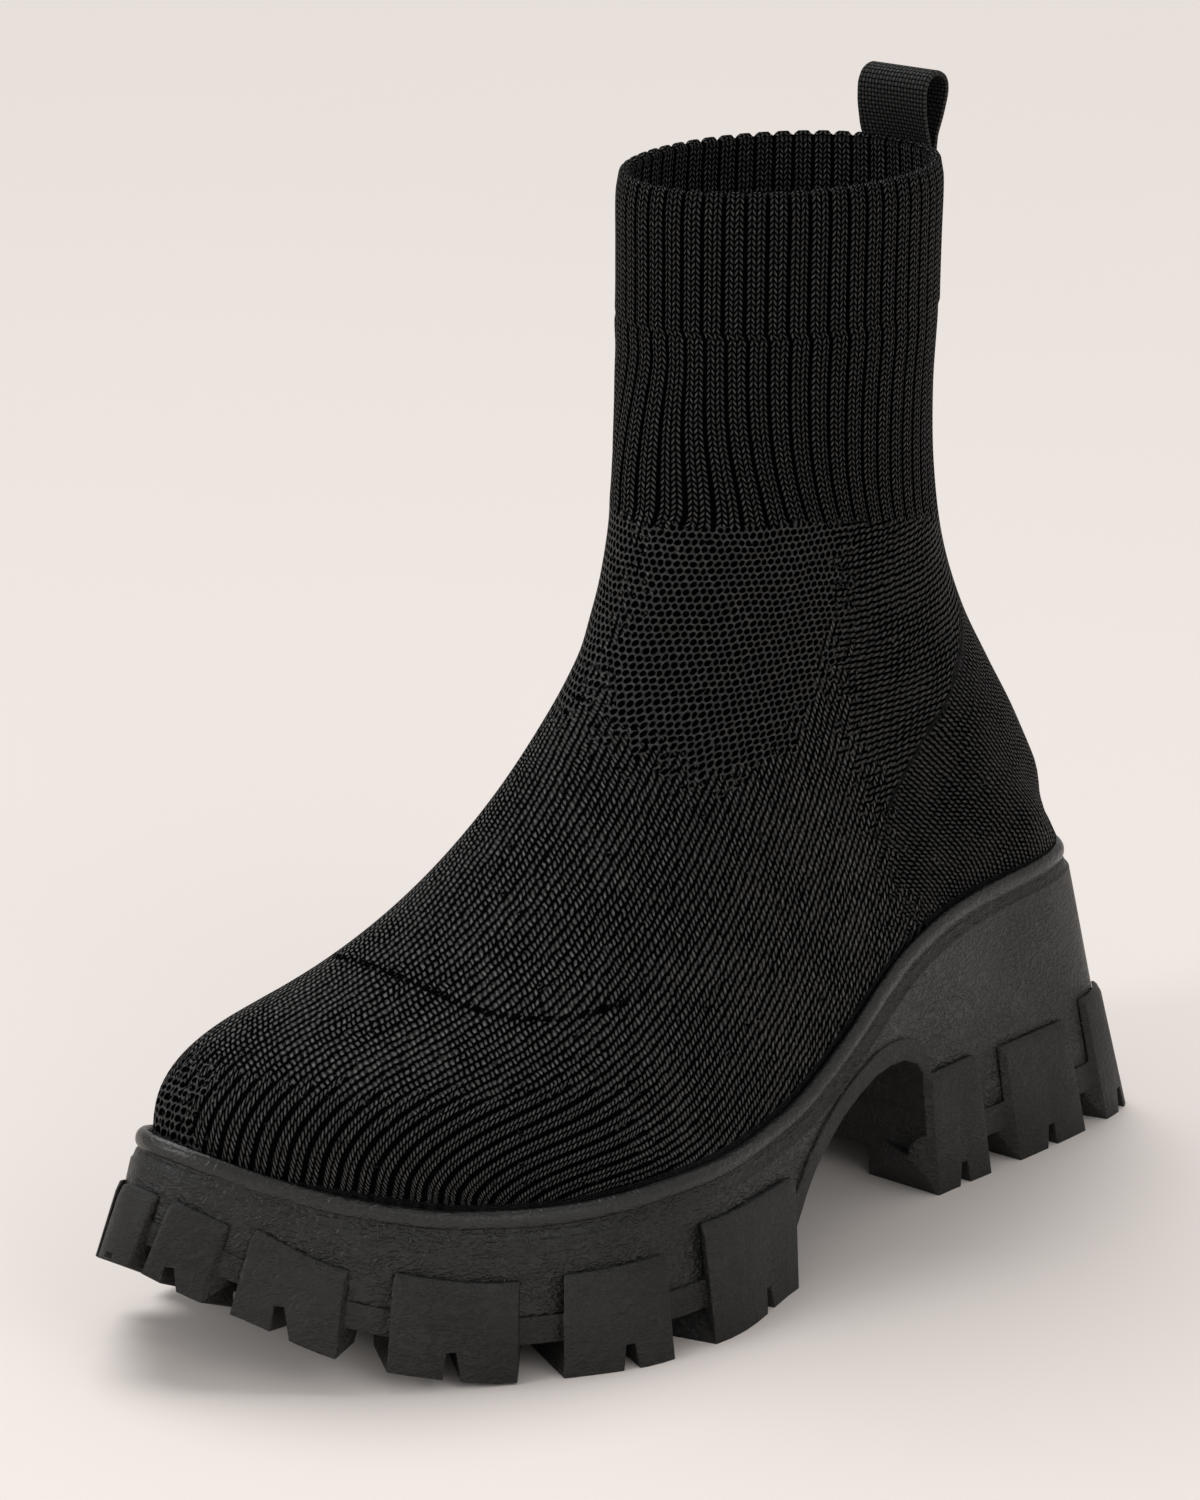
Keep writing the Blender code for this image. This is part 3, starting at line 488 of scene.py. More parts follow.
@dataclass
class SoleLines:
    """Plan and height lines round the sole at outline angles.

    Args:
        steps: number of stations round the sole.
        length: length of the ground outline, mm.
        lug_proud: lugs' stand-off from the wall, mm.
        shoulder_offset: the wall's top outside the lip's edge, mm.
        shoulder_drop: the wall's top below the lip, mm.
    """

    steps: int = 720
    length: float = 285.0
    lug_proud: float = 3.0
    shoulder_offset: float = 4.6
    shoulder_drop: float = 6.6

    def __post_init__(self) -> None:
        """Lay out the stations."""
        degrees = np.arange(self.steps) * 360 / self.steps
        turn = (1 + np.cos(np.radians(degrees))) / 2
        self.lip = np.stack([LIP_BACK + (LIP_TIP - LIP_BACK) * turn, around(LIP_Y, degrees)], -1)
        ground = np.stack([self.length * turn, around(GROUND_Y, degrees)], -1)
        reach = ground - self.lip
        self.reach = np.linalg.norm(reach, axis=1)
        self.out = reach / self.reach[:, None]
        self.lip_z = height_at(self.lip[:, 0], LIP_Z)
        foot = self.lip + self.out * (self.reach - self.lug_proud)[:, None]
        self.foot_z = height_at(foot[:, 0], SPRING_Z)

    def wall(self, over_floor: np.ndarray | float) -> np.ndarray:
        """Outward offset of the midsole wall.

        Args:
            over_floor: height over the toe spring, mm.

        Returns:
            The offset at each station, mm.
        """
        rise = self.lip_z - self.shoulder_drop - self.foot_z
        foot = self.reach - self.lug_proud
        return foot + (self.shoulder_offset - foot) * np.clip(over_floor / rise, 0, 1)

    def ring(self, offset: np.ndarray | float, z: np.ndarray | float) -> np.ndarray:
        """Closed ring of points at an outward offset and a height."""
        plan = self.lip + self.out * np.broadcast_to(offset, self.reach.shape)[:, None]
        return np.column_stack([plan, np.broadcast_to(z, self.reach.shape)])

    def inner_ring(self, inset: float, z: np.ndarray) -> np.ndarray:
        """Closed ring of points squarely inside the lip's inner edge.

        Args:
            inset: distance from the edge, mm.
            z: height at each station, mm.

        Returns:
            The ring's points.
        """
        along = np.roll(self.lip, -1, axis=0) - np.roll(self.lip, 1, axis=0)
        along /= np.linalg.norm(along, axis=1)[:, None]
        inward = np.column_stack([-along[:, 1], along[:, 0]])
        return np.column_stack([self.lip + inward * inset, z])


def cap_faces(first: int, count: int) -> list:
    """Strip of faces that closes a ring whose halves face each other.

    Args:
        first: number of the ring's first point.
        count: number of its points.

    Returns:
        The faces.
    """
    half = count // 2
    faces = [(first, first + 1, first + count - 1)]
    for k in range(1, half - 1):
        faces.append((first + k, first + k + 1, first + count - k - 1, first + count - k))
    return faces + [(first + half - 1, first + half, first + half + 1)]


def band_faces(rows: int, count: int) -> list:
    """Quads between closed rings of equal count, numbered ring by ring.

    Args:
        rows: number of rings.
        count: points of each ring.

    Returns:
        The faces.
    """
    return [(r * count + k, r * count + (k + 1) % count, (r + 1) * count + (k + 1) % count,
             (r + 1) * count + k) for r in range(rows - 1) for k in range(count)]


def loft_faces(rows: int, count: int) -> list:
    """Faces of a body through rings, lowest ring first, capped at both ends."""
    low = [face[::-1] for face in cap_faces(0, count)]
    return low + band_faces(rows, count) + cap_faces((rows - 1) * count, count)


@dataclass(frozen=True)
class RubberFinish:
    """Matte charcoal rubber with a fine wrinkled grain, a painted edge highlight and a smoother
    lip.

    Args:
        name: the material's name.
        dark: colour in the grain's valleys, painted shade there.
        light: colour of the grain's high spots, a painted highlight there.
        painted_edge_highlight: colour of the painted highlight on the rounded edges.
        roughness: mean roughness.
        rub_change: change of the roughness where the rubber is rubbed.
        grain: depth of the wrinkles, m.
        edge: radius of the moulded edges, m.
    """

    name: str
    dark: tuple = (0.0050, 0.0048, 0.0046)
    light: tuple = (0.0150, 0.0144, 0.0139)
    painted_edge_highlight: tuple = (0.046, 0.0445, 0.043)
    roughness: float = 0.43
    rub_change: float = 0.06
    grain: float = 0.00042
    edge: float = 0.0007

    def build(self, relief: bpy.types.NodeTree) -> bpy.types.Material:
        """Material that reads the shared rubber grain group.

        Args:
            relief: the rubber grain group.

        Returns:
            The material.
        """
        material, graph, shader = plain_material(self.name)
        height = graph.read("Height", "ShaderNodeGroup", {"Place": graph.place()},
                            node_tree=relief)
        rub, lip = height.twin("Rub"), graph.attribute("lip")
        # painted shade and highlight: the colour follows the grain's height, darker in its valleys
        # and lighter on its ridges, mixed with random patches of tone
        body = graph.tint(height * 0.6 + rub * 0.4, self.dark, self.light)
        rounded = graph.read("Normal", "ShaderNodeBevel", {"Radius": self.edge}, samples=6)
        flat = graph.read("Normal", "ShaderNodeNewGeometry")
        turn = graph.read("Value", "ShaderNodeVectorMath", {0: rounded, 1: flat},
                          operation="DOT_PRODUCT")
        # painted highlight: the rounded edges, where the bevel's normal turns from the face's, are
        # painted lighter on the grain's high spots
        edge = graph.ramp(turn, 0.99, 0.86) * graph.ramp(height, 0.1, 0.7)
        rough = graph.mix(rub, self.roughness + self.rub_change, self.roughness - self.rub_change)
        graph.feed(shader, {
            "Base Color": graph.tint(edge * 0.55, body, self.painted_edge_highlight),
            "Roughness": rough - lip * 0.10,
            "Specular IOR Level": 0.40,
            "Coat Weight": lip * 0.16 + 0.04,
            "Coat Roughness": 0.34,
            "Normal": graph.bump(height, self.grain, 0.95 - lip * 0.45, Normal=rounded),
        })
        return material


def rubber_grain() -> bpy.types.NodeTree:
    """Node group of the wrinkled rubber.

    Returns:
        A group that gives a height and a soft mask of rubbed places.
    """
    graph, entry, leave = new_group("Rubber grain", {"Place": None}, ("Height", "Rub"))
    place = entry["Place"]
    tall = graph.read(0, "ShaderNodeMapping", {"Vector": place, "Scale": GRAIN_STRETCH})
    drift = graph.read("Color", "ShaderNodeTexNoise", {"Vector": tall, "Scale": 150.0})
    bent = graph.read(0, "ShaderNodeVectorMath", {0: drift, 1: (GRAIN_BEND,) * 3, 2: tall},
                      operation="MULTIPLY_ADD")
    folds, small = [graph.ramp(abs(graph.noise(bent, scale, 1.5) - 0.5), width, 0.0, 0.0, depth)
                    for scale, width, depth in GRAIN_FOLDS]
    patch = graph.ramp(graph.noise(place, 60.0, 3.0), 0.3, 0.7, 0.45, 1.0)
    graph.feed(leave, {
        "Height": folds.most(small) * 0.75 * patch + graph.noise(bent, 1300.0, 3.0) * 0.28,
        "Rub": graph.ramp(graph.noise(place, 28.0, 5.0), 0.35, 0.68),
    })
    return graph.tree


@dataclass
class Midsole:
    """Platform wedge with its wall, shoulder, groove, rolled lip and foot bed.

    Args:
        lines: lines round the sole.
        bed_depth: foot bed below the lip, mm.
        tuck: how far the wall runs on behind the tread's edge, mm.
        seam_height: height over the toe spring where the wall's place is read, mm.
        wall_rings: rings on the plain wall.
        lip_edge: drops below the lip between which its smoother face begins, mm.
        profile: outward offset from the lip's edge and drop below the lip, mm.
    """

    lines: SoleLines
    bed_depth: float = 5.0
    tuck: float = 1.6
    seam_height: float = 15.0
    wall_rings: int = 8
    lip_edge: tuple = (4.2, 3.4)
    profile: tuple = (
        (4.60, 6.75), (4.60, 6.60), (4.52, 6.42), (4.30, 6.22), (4.00, 6.02), (3.72, 5.62),
        (3.40, 4.92), (3.10, 4.50), (2.80, 4.25), (2.62, 4.02), (2.68, 3.80), (2.92, 3.50),
        (3.08, 3.20), (3.22, 2.60), (3.22, 2.00), (3.06, 1.32), (2.66, 0.66), (2.08, 0.22),
        (1.50, 0.00), (0.94, 0.06), (0.46, 0.38), (0.14, 0.84), (0.00, 1.40), (0.00, 3.20),
    )

    def build(self) -> bpy.types.Object:
        """Mesh of the midsole, with a mask of its lip.

        Returns:
            The piece.
        """
        lines = self.lines
        seam_x = lines.ring(lines.wall(self.seam_height), 0.0)[:, 0]
        seam = smooth(PARTING[:, 0], PARTING[:, 1], seam_x) - self.tuck
        low = height_at(seam_x, SPRING_Z) + seam
        top = lines.lip_z - self.profile[0][1]
        levels = [low + (top - low) * k / self.wall_rings for k in range(self.wall_rings)]
        rings = [lines.ring(lines.wall(z - lines.foot_z), z) for z in levels]
        rings += [lines.ring(offset, lines.lip_z - drop) for offset, drop in self.profile]
        rings.append(lines.ring(0.0, lines.lip_z - self.bed_depth))
        faces = loft_faces(len(rings), lines.steps)
        verts = lift_toe(np.concatenate(rings))
        piece = make_piece("midsole_body", verts, faces, "midsole")
        rolled = ease(*self.lip_edge, np.array([drop for _, drop in self.profile]))
        lip = np.concatenate([np.zeros(self.wall_rings), rolled, [1.0]])
        add_value(piece.data, "lip", np.repeat(lip, lines.steps))
        return piece


@dataclass
class Outsole:
    """Tread with its arch band and lugs, on the CAD solid's own faces with rounded edges.

    Args:
        solid: the CAD node.
        edge: radius of the moulded edges, mm.
        weld: distance under which split corners are joined, mm.
        flat: angle under which neighbouring faces are one face, degrees.
        sharp: angle over which an edge is rounded, degrees.
    """

    solid: bpy.types.Object
    edge: float = 0.45
    weld: float = 0.002
    flat: float = 0.8
    sharp: float = 34.0

    def build(self) -> bpy.types.Object:
        """Mesh of the tread.

        Returns:
            The piece.
        """
        form = bmesh.new()
        form.from_mesh(self.solid.data)
        form.transform(self.solid.matrix_world)
        bmesh.ops.remove_doubles(form, verts=form.verts, dist=self.weld * MM)
        bmesh.ops.dissolve_limit(form, angle_limit=math.radians(self.flat), verts=form.verts,
                                 edges=form.edges)
        corners = [e for e in form.edges
                   if e.is_manifold and e.calc_face_angle() > math.radians(self.sharp)]
        bmesh.ops.bevel(form, geom=corners, offset=self.edge * MM, offset_type="OFFSET", segments=2,
                        profile=0.5, affect="EDGES", clamp_overlap=True)
        form.verts.index_update()
        verts = np.array([v.co for v in form.verts]) / MM - SHIFT
        faces = [tuple(v.index for v in face.verts) for face in form.faces]
        form.free()
        piece = make_piece("outsole_tread", lift_toe(verts), faces, "outsole")
        piece.data.set_sharp_from_angle(angle=math.radians(self.sharp))
        return piece


@dataclass
class Insole:
    """Thin covered sheet on the foot bed.

    Args:
        lines: lines round the sole.
        bed_depth: foot bed below the lip, mm.
        thickness: the sheet's thickness, mm.
        inset: its edge inside the lip's edge, mm.
        gap: clearance to the foot bed, mm.
        rings: extra inset and share of the thickness of each ring, from the floor up.
    """

    lines: SoleLines
    bed_depth: float = 5.0
    thickness: float = 3.0
    inset: float = 4.5
    gap: float = 0.3
    rings: tuple = ((0.0, 0.0), (0.0, 0.6), (0.15, 0.8), (0.5, 0.95), (1.0, 1.0), (5.0, 1.0))

    def build(self) -> bpy.types.Object:
        """Mesh of the insole with a rounded upper edge.

        Returns:
            The piece.
        """
        bed = self.lines.lip_z - self.bed_depth + self.gap
        rings = [self.lines.inner_ring(self.inset + more, bed + self.thickness * share)
                 for more, share in self.rings]
        faces = loft_faces(len(rings), self.lines.steps)
        verts = lift_toe(np.concatenate(rings))
        return make_piece("insole_sheet", verts, faces, "insole")


@dataclass
class SockShape:
    """Outer face of the sock on the CAD part's own section rows.

    Args:
        coarse_columns: columns of the CAD upper.
        foot_rows: rows of the CAD upper's foot.
        cuff_row: first leg row on the cuff.
        toe_blend: share of the foot over which the toe's own arc fades.
        relax_rounds: rounds of easing.
        fit_gap: the knit's edge inside the lip, mm.
        edge_rise: the knit's edge over the lip, mm.
        lip_half: typical half width of the lip, mm.
        least_width: least half width of a section, as a share of the lip's there.
        section_steps: points of a section before it is spaced evenly.
        arc_steps: the same for the toe's arc.
    """

    coarse_columns: int = 28
    foot_rows: int = 28
    cuff_row: int = 8
    toe_blend: float = 0.3
    relax_rounds: int = 3
    fit_gap: float = 0.4
    edge_rise: float = 0.6
    lip_half: float = 30.0
    least_width: float = 1.02
    section_steps: int = 201
    arc_steps: int = 401

    def feather(self, x: np.ndarray | float) -> tuple:
        """Lower edge of the sock along the lip.

        Args:
            x: places along the shoe, mm.

        Returns:
            Outer y, inner y and height of the edge, mm.
        """
        back, tip = LIP_BACK + self.fit_gap, LIP_TIP - self.fit_gap
        degrees = np.degrees(np.arccos(np.clip(2 * (x - back) / (tip - back) - 1, -1, 1)))
        shrink = 1 - self.fit_gap / self.lip_half
        outer, inner = around(LIP_Y, degrees) * shrink, around(LIP_Y, 360 - degrees) * shrink
        return outer, inner, height_at(x, LIP_Z) + self.edge_rise

    def section(self, centre: np.ndarray, top: np.ndarray, drop: float, half_width: float,
                turn: float, power: float) -> np.ndarray:
        """Section of the sock from its lower inner edge over the top to the outer edge.

        Args:
            centre: middle of the widest level.
            top: highest or foremost point.
            drop: reach of the part beyond the widest level, mm.
            half_width: half width at the widest level, mm.
            turn: angle by which the section runs on beyond that level.
            power: roundness of the top, 2 for an ellipse.

        Returns:
            Evenly spaced points, one per column of the CAD upper.
        """
        shares = np.linspace(-1, 1, self.section_steps)
        angle = np.abs(shares * (math.pi / 2 + turn))
        rise = np.cos(angle)
        upper = rise >= 0
        bend = np.where(upper, 2 / power, 1.0)
        rise = np.sign(rise) * np.abs(rise) ** bend
        side = np.sign(shares) * np.clip(np.sin(angle), 0, 1) ** bend * half_width
        up = top - centre
        down = up / np.linalg.norm(up) * drop
        curve = centre + np.where(upper[:, None], np.outer(rise, up), np.outer(rise, down))
        return even_spacing(curve + np.outer(side, [0, 1, 0]), self.coarse_columns + 1)

    def toe_arc(self) -> tuple[np.ndarray, np.ndarray]:
        """Lower edge round the toe at even steps.

        Returns:
            Share of the way forward and share of the half width at each column.
        """
        start_x, tip = FOOT_SECTIONS[0][0], LIP_TIP - self.fit_gap
        bend = np.linspace(-1, 1, self.arc_steps)
        x = start_x + (tip - start_x) * np.cos(bend * math.pi / 2)
        outer, inner, edge_z = self.feather(x)
        outline = np.column_stack([x, np.where(bend > 0, outer, inner), edge_z])
        even = even_spacing(outline, self.coarse_columns + 1)
        left, right, _ = self.feather(start_x)
        middle = (left + right) / 2
        rise = (even[:, 0] - start_x) / (tip - start_x)
        side = even[:, 1] - middle - rise * (around(LIP_Y, 0.0) - middle)
        return rise, side / ((left - right) / 2)

    def foot_row(self, share: float, arc: tuple[np.ndarray, np.ndarray]) -> np.ndarray:
        """One row of the foot.

        Args:
            share: place of the row, from the toe's edge (0) to the heel's back (1).
            arc: the toe's lower edge.

        Returns:
            The row's points.
        """
        steps = np.linspace(0, 1, len(FOOT_SECTIONS))
        edge_x, top_x, top_z, wide, drop, power = [
            smooth(steps, FOOT_SECTIONS[:, k], share) for k in range(6)]
        outer, inner, edge_z = self.feather(edge_x)
        edge = np.array([edge_x, (outer + inner) / 2, edge_z])
        top = np.array([top_x, smooth(TOP_LINE[:, 0], TOP_LINE[:, 1], share), top_z])
        half_edge = (outer - inner) / 2
        half = max(half_edge * self.least_width, float(wide) if wide > NARROWEST else 0.0)
        turn = math.acos(min(1.0, half_edge / half))
        up = (top - edge) / np.linalg.norm(top - edge)
        curve = self.section(edge + up * drop * math.sin(turn), top, drop, half, turn, power)
        rise, side = arc
        rounded = edge + np.outer(rise, top - edge) + np.outer(side * half_edge, [0, 1, 0])
        return rounded + (curve - rounded) * float(ease(0.0, self.toe_blend, share))

    def leg_row(self, row: np.ndarray) -> np.ndarray:
        """One closed row of the leg.

        Args:
            row: row of LEG_SECTIONS.

        Returns:
            The row's points, whose first and last meet at the back.
        """
        back_x, back_z, front_x, front_z, wide, level, power = row
        back, front = np.array([back_x, 0.0, back_z]), np.array([front_x, 0.0, front_z])
        centre = back + (front - back) * level
        drop = np.linalg.norm(centre - back)
        return self.section(centre, front, drop, wide, math.pi / 2, power)

    def coarse(self) -> np.ndarray:
        """Section rows of the CAD upper without the cuff's step.

        Returns:
            The rows' points, toe first and collar last.
        """
        arc, feet = self.toe_arc(), self.foot_rows
        rows = [self.foot_row(share, arc) for share in np.linspace(0, 1, feet)]
        rows[-1][0] = rows[-1][-1] = (rows[-1][0] + rows[-1][-1]) / 2
        rows = np.array(rows + [self.leg_row(row) for row in LEG_SECTIONS])
        last = feet + self.cuff_row - 1
        for _ in range(self.relax_rounds):
            closed = np.concatenate([rows[:, -2:-1], rows, rows[:, 1:2]], axis=1)
            sides = closed[:, :-2] + closed[:, 2:]
            eased = rows.copy()
            near = rows[:last - 1] + rows[2:last + 1] + sides[1:last]
            eased[1:last] = rows[1:last] / 2 + near / 8
            eased[:feet, [0, -1]] = rows[:feet, [0, -1]]
            rows = eased
        return rows

    def fine(self, columns: int, foot: int, leg: int) -> tuple[np.ndarray, np.ndarray]:
        """Fine rows on the coarse ones.

        Args:
            columns: number of fine columns.
            foot: number of fine rows on the foot.
            leg: number of fine rows on the leg.

        Returns:
            Points, and the run of each row along the sides in mm.
        """
        rows = self.coarse()
        first = self.foot_rows - 1
        before = rows[:, -2].copy()
        before[:first] = 2 * rows[:first, 0] - rows[:first, 1]
        after = rows[:, 1].copy()
        after[:first] = 2 * rows[:first, -1] - rows[:first, -2]
        padded = np.concatenate([before[:, None], rows, after[:, None]], axis=1)
        knots = np.arange(-1, self.coarse_columns + 2, dtype=float)
        at = np.linspace(0, self.coarse_columns, columns + 1)
        wide = spline_rows(padded.transpose(1, 0, 2), knots, at).transpose(1, 0, 2)
        steps = np.linalg.norm(np.diff(wide, axis=0), axis=2)
        quarter = columns // 4
        run = np.concatenate([[0.0], np.cumsum((steps[:, quarter] + steps[:, -quarter]) / 2)])
        places = np.concatenate([np.linspace(0, run[first], foot, endpoint=False),
                                 np.linspace(run[first], run[-1], leg)])
        points = spline_rows(wide, run, places)
        points[foot:, -1] = points[foot:, 0]
        return points, places


@dataclass
class SockGrid:
    """Outer rows of the sock, one value or point per row and column.

    Args:
        base: points of the plain outer face, mm.
        run: way of each row along the sides, mm.
        side: way round from the front, mm.
        phase: number of the rib.
        ribbed: mask of the ribs.
        bold: mask of the toe's bold wale pairs.
    """

    base: np.ndarray
    run: np.ndarray
    side: np.ndarray
    phase: np.ndarray
    ribbed: np.ndarray
    bold: np.ndarray

    def zones(self) -> dict[str, np.ndarray]:
        """Masks and lines of the knit's zones.

        Returns:
            The grid of each mask or line by its name on the mesh.
        """
        run, front = self.run[:, None], np.abs(self.side)
        x, y, z = np.moveaxis(self.base, 2, 0)
        under_ribs = 1 - self.ribbed
        edge, dip, spot, width = MESH_EDGE
        low = z - edge + dip * np.exp(-((front - spot) / width) ** 2)
        comb = ease(*MESH_FADE, low) * ease(*MESH_FRONT, front) * (1 - ease(*MESH_ROUND, front))
        toe = ease(*HOLES_ALONG, x) * (1 - ease(*HOLES_OUTER, self.side))
        toe = toe * ease(*HOLES_INNER, self.side) * (run < HOLES_RUN)
        arcs = 1 - ease(*HEEL_FADE, x - HEEL_LEAN * (z - HEEL_Z))
        # heel lines: level ones over the gore's fold, sloping ones behind it, which keep their
        # pitch round the heel's back by the way out to the side
        level = z - 0.003 * (x - 105) ** 2
        slope = 0.515 * z - 0.485 * x + 90.3
        behind = slope > level
        reach = np.abs(y)
        # the vamp's curved seam, by the way round at which it turns up
        turn = np.clip(front, 0, SEAM_LIMIT) / SEAM_SIDE
        seam, steep = SEAM_RUN + SEAM_RISE * turn ** 4, 4 * SEAM_RISE * turn ** 3 / SEAM_SIDE
        return {
            "ribbed": self.ribbed,
            "bold": self.bold,
            "open_mesh": comb * under_ribs,
            "toe_holes": toe,
            "arcs": arcs * under_ribs,
            "arc_line": np.where(behind, 1.8 * slope - 0.873 * reach, level),
            "arc_fold": np.abs(slope - level) / 0.7,
            "seam_off": (run - seam) / np.hypot(1, steep),
            "seam_end": 1 - ease(*SEAM_FADE, front),
            "along": np.where(behind, 0.7 * (x + z + reach), 1.1 * x),
        }


@dataclass
class SockShell:
    """Closed shell through the sock's outer, inner and rim rows.

    Args:
        outer: points of the outer rows.
        inner: points of the inner rows.
        rolls: points of the rim's rows.
        inner_rows: number of the outer row beside each inner row.
        foot: number of open rows, whose ends lie at the lip.
        skirt: how far the knit runs down inside the lip, mm.
    """

    outer: np.ndarray
    inner: np.ndarray
    rolls: np.ndarray
    inner_rows: np.ndarray
    foot: int
    skirt: float

    def __post_init__(self) -> None:
        """Number the points, with one number where closed rows meet, and join the rows."""
        count = self.outer.shape[1]
        self.open_inner = int(np.searchsorted(self.inner_rows, self.foot))
        self.faces, self.corners, numbers, first = [], [], [], 0
        sheets = (self.outer, self.foot), (self.inner, self.open_inner), (self.rolls, 0)
        for rows, closed_from in sheets:
            index = np.arange(len(rows) * count).reshape(-1, count) + first
            index[closed_from:, -1] = index[closed_from:, 0]
            numbers.append(index)
            first += index.size
        self.points = np.concatenate([rows.reshape(-1, 3) for rows, _ in sheets])
        outer, inner, rolls = numbers
        self.join(outer, -1)
        self.join(inner, 1)
        self.join([outer[-1], *rolls, inner[-1]], -1)
        self.close_skirt(outer, inner)

    def join(self, rows: np.ndarray | list, turn: int) -> None:
        """Quads between neighbouring rows, with the column of each corner.

        Args:
            rows: point numbers of the rows.
            turn: -1 to turn the faces over, else 1.
        """
        for upper, lower in zip(rows, rows[1:]):
            for k in range(len(upper) - 1):
                self.faces.append((upper[k], upper[k + 1], lower[k + 1], lower[k])[::turn])
                self.corners.append((k, k + 1, k + 1, k)[::turn])

    def close_skirt(self, outer: np.ndarray, inner: np.ndarray) -> None:
        """Run the knit's lower edge down inside the lip and join both faces there.

        Args:
            outer: point numbers of the outer rows.
            inner: point numbers of the inner rows.
        """
        foot, last = self.foot, outer.shape[1] - 1
        rows = range(1, self.open_inner + 1)
        outer_edge = [*outer[0], *outer[1:foot + 1, -1], *outer[foot - 1:0:-1, 0]]
        inner_edge = [*inner[0], *(inner[r, -1] for r in rows),
                      *(inner[r, 0] for r in rows[-2::-1])]
        loop, first = len(outer_edge), len(self.points)
        beside = [*range(last + 1), *(last + int(self.inner_rows[r]) for r in rows),
                  *(loop - int(self.inner_rows[r]) for r in rows[-2::-1]), loop]
        hem = self.points[outer_edge] - np.array([0, 0, self.skirt])
        self.points = np.concatenate([self.points, hem])
        for k in range(loop):
            after = (k + 1) % loop
            self.faces.append((outer_edge[k], outer_edge[after], first + after, first + k))
        for k, edge in enumerate(inner_edge):
            under = [first + m % loop for m in range(beside[k], beside[k + 1] + 1)]
            self.faces.append((*under, inner_edge[(k + 1) % len(inner_edge)], edge))
        self.corners += [(0,) * len(face) for face in self.faces[len(self.corners):]]

    def dress(self, grid: SockGrid) -> bpy.types.Object:
        """Make the mesh and store its masks and its maps of wales and courses.

        Args:
            grid: the outer rows' values.

        Returns:
            The piece.
        """
        corner, column = np.concatenate(self.faces), np.concatenate(self.corners)
        used, numbers = np.unique(corner, return_inverse=True)
        ends = np.cumsum([len(face) for face in self.faces])[:-1]
        faces = [face.tolist() for face in np.split(numbers, ends)]
        piece = make_piece("sock_knit", self.points[used], faces, "upper")
        total, count = grid.side.shape
        shown = total + len(self.inner_rows)
        beside = np.concatenate([np.arange(total), self.inner_rows,
                                 np.full(len(self.rolls), total - 1)])
        within = np.zeros((len(beside), count))
        within[total:shown] = 1.0
        masks = {name: values[beside] for name, values in grid.zones().items()}
        for name, values in {**masks, "inside": within}.items():
            full = np.zeros(len(self.points))
            full[:values.size] = values.ravel()
            add_value(piece.data, name, full[used])
        line = corner // count
        row = beside[np.minimum(line, len(beside) - 1)]
        over = np.clip((line - shown + 1) * ROLL_STEP, 0.0, ROLL_END)
        add_map(piece.data, "Leg", np.column_stack(
            [grid.phase[row, column], grid.base[row, column, 2] + over]))
        add_map(piece.data, "Foot", np.column_stack(
            [grid.side[row, column], grid.run[row] + over]))
        return piece


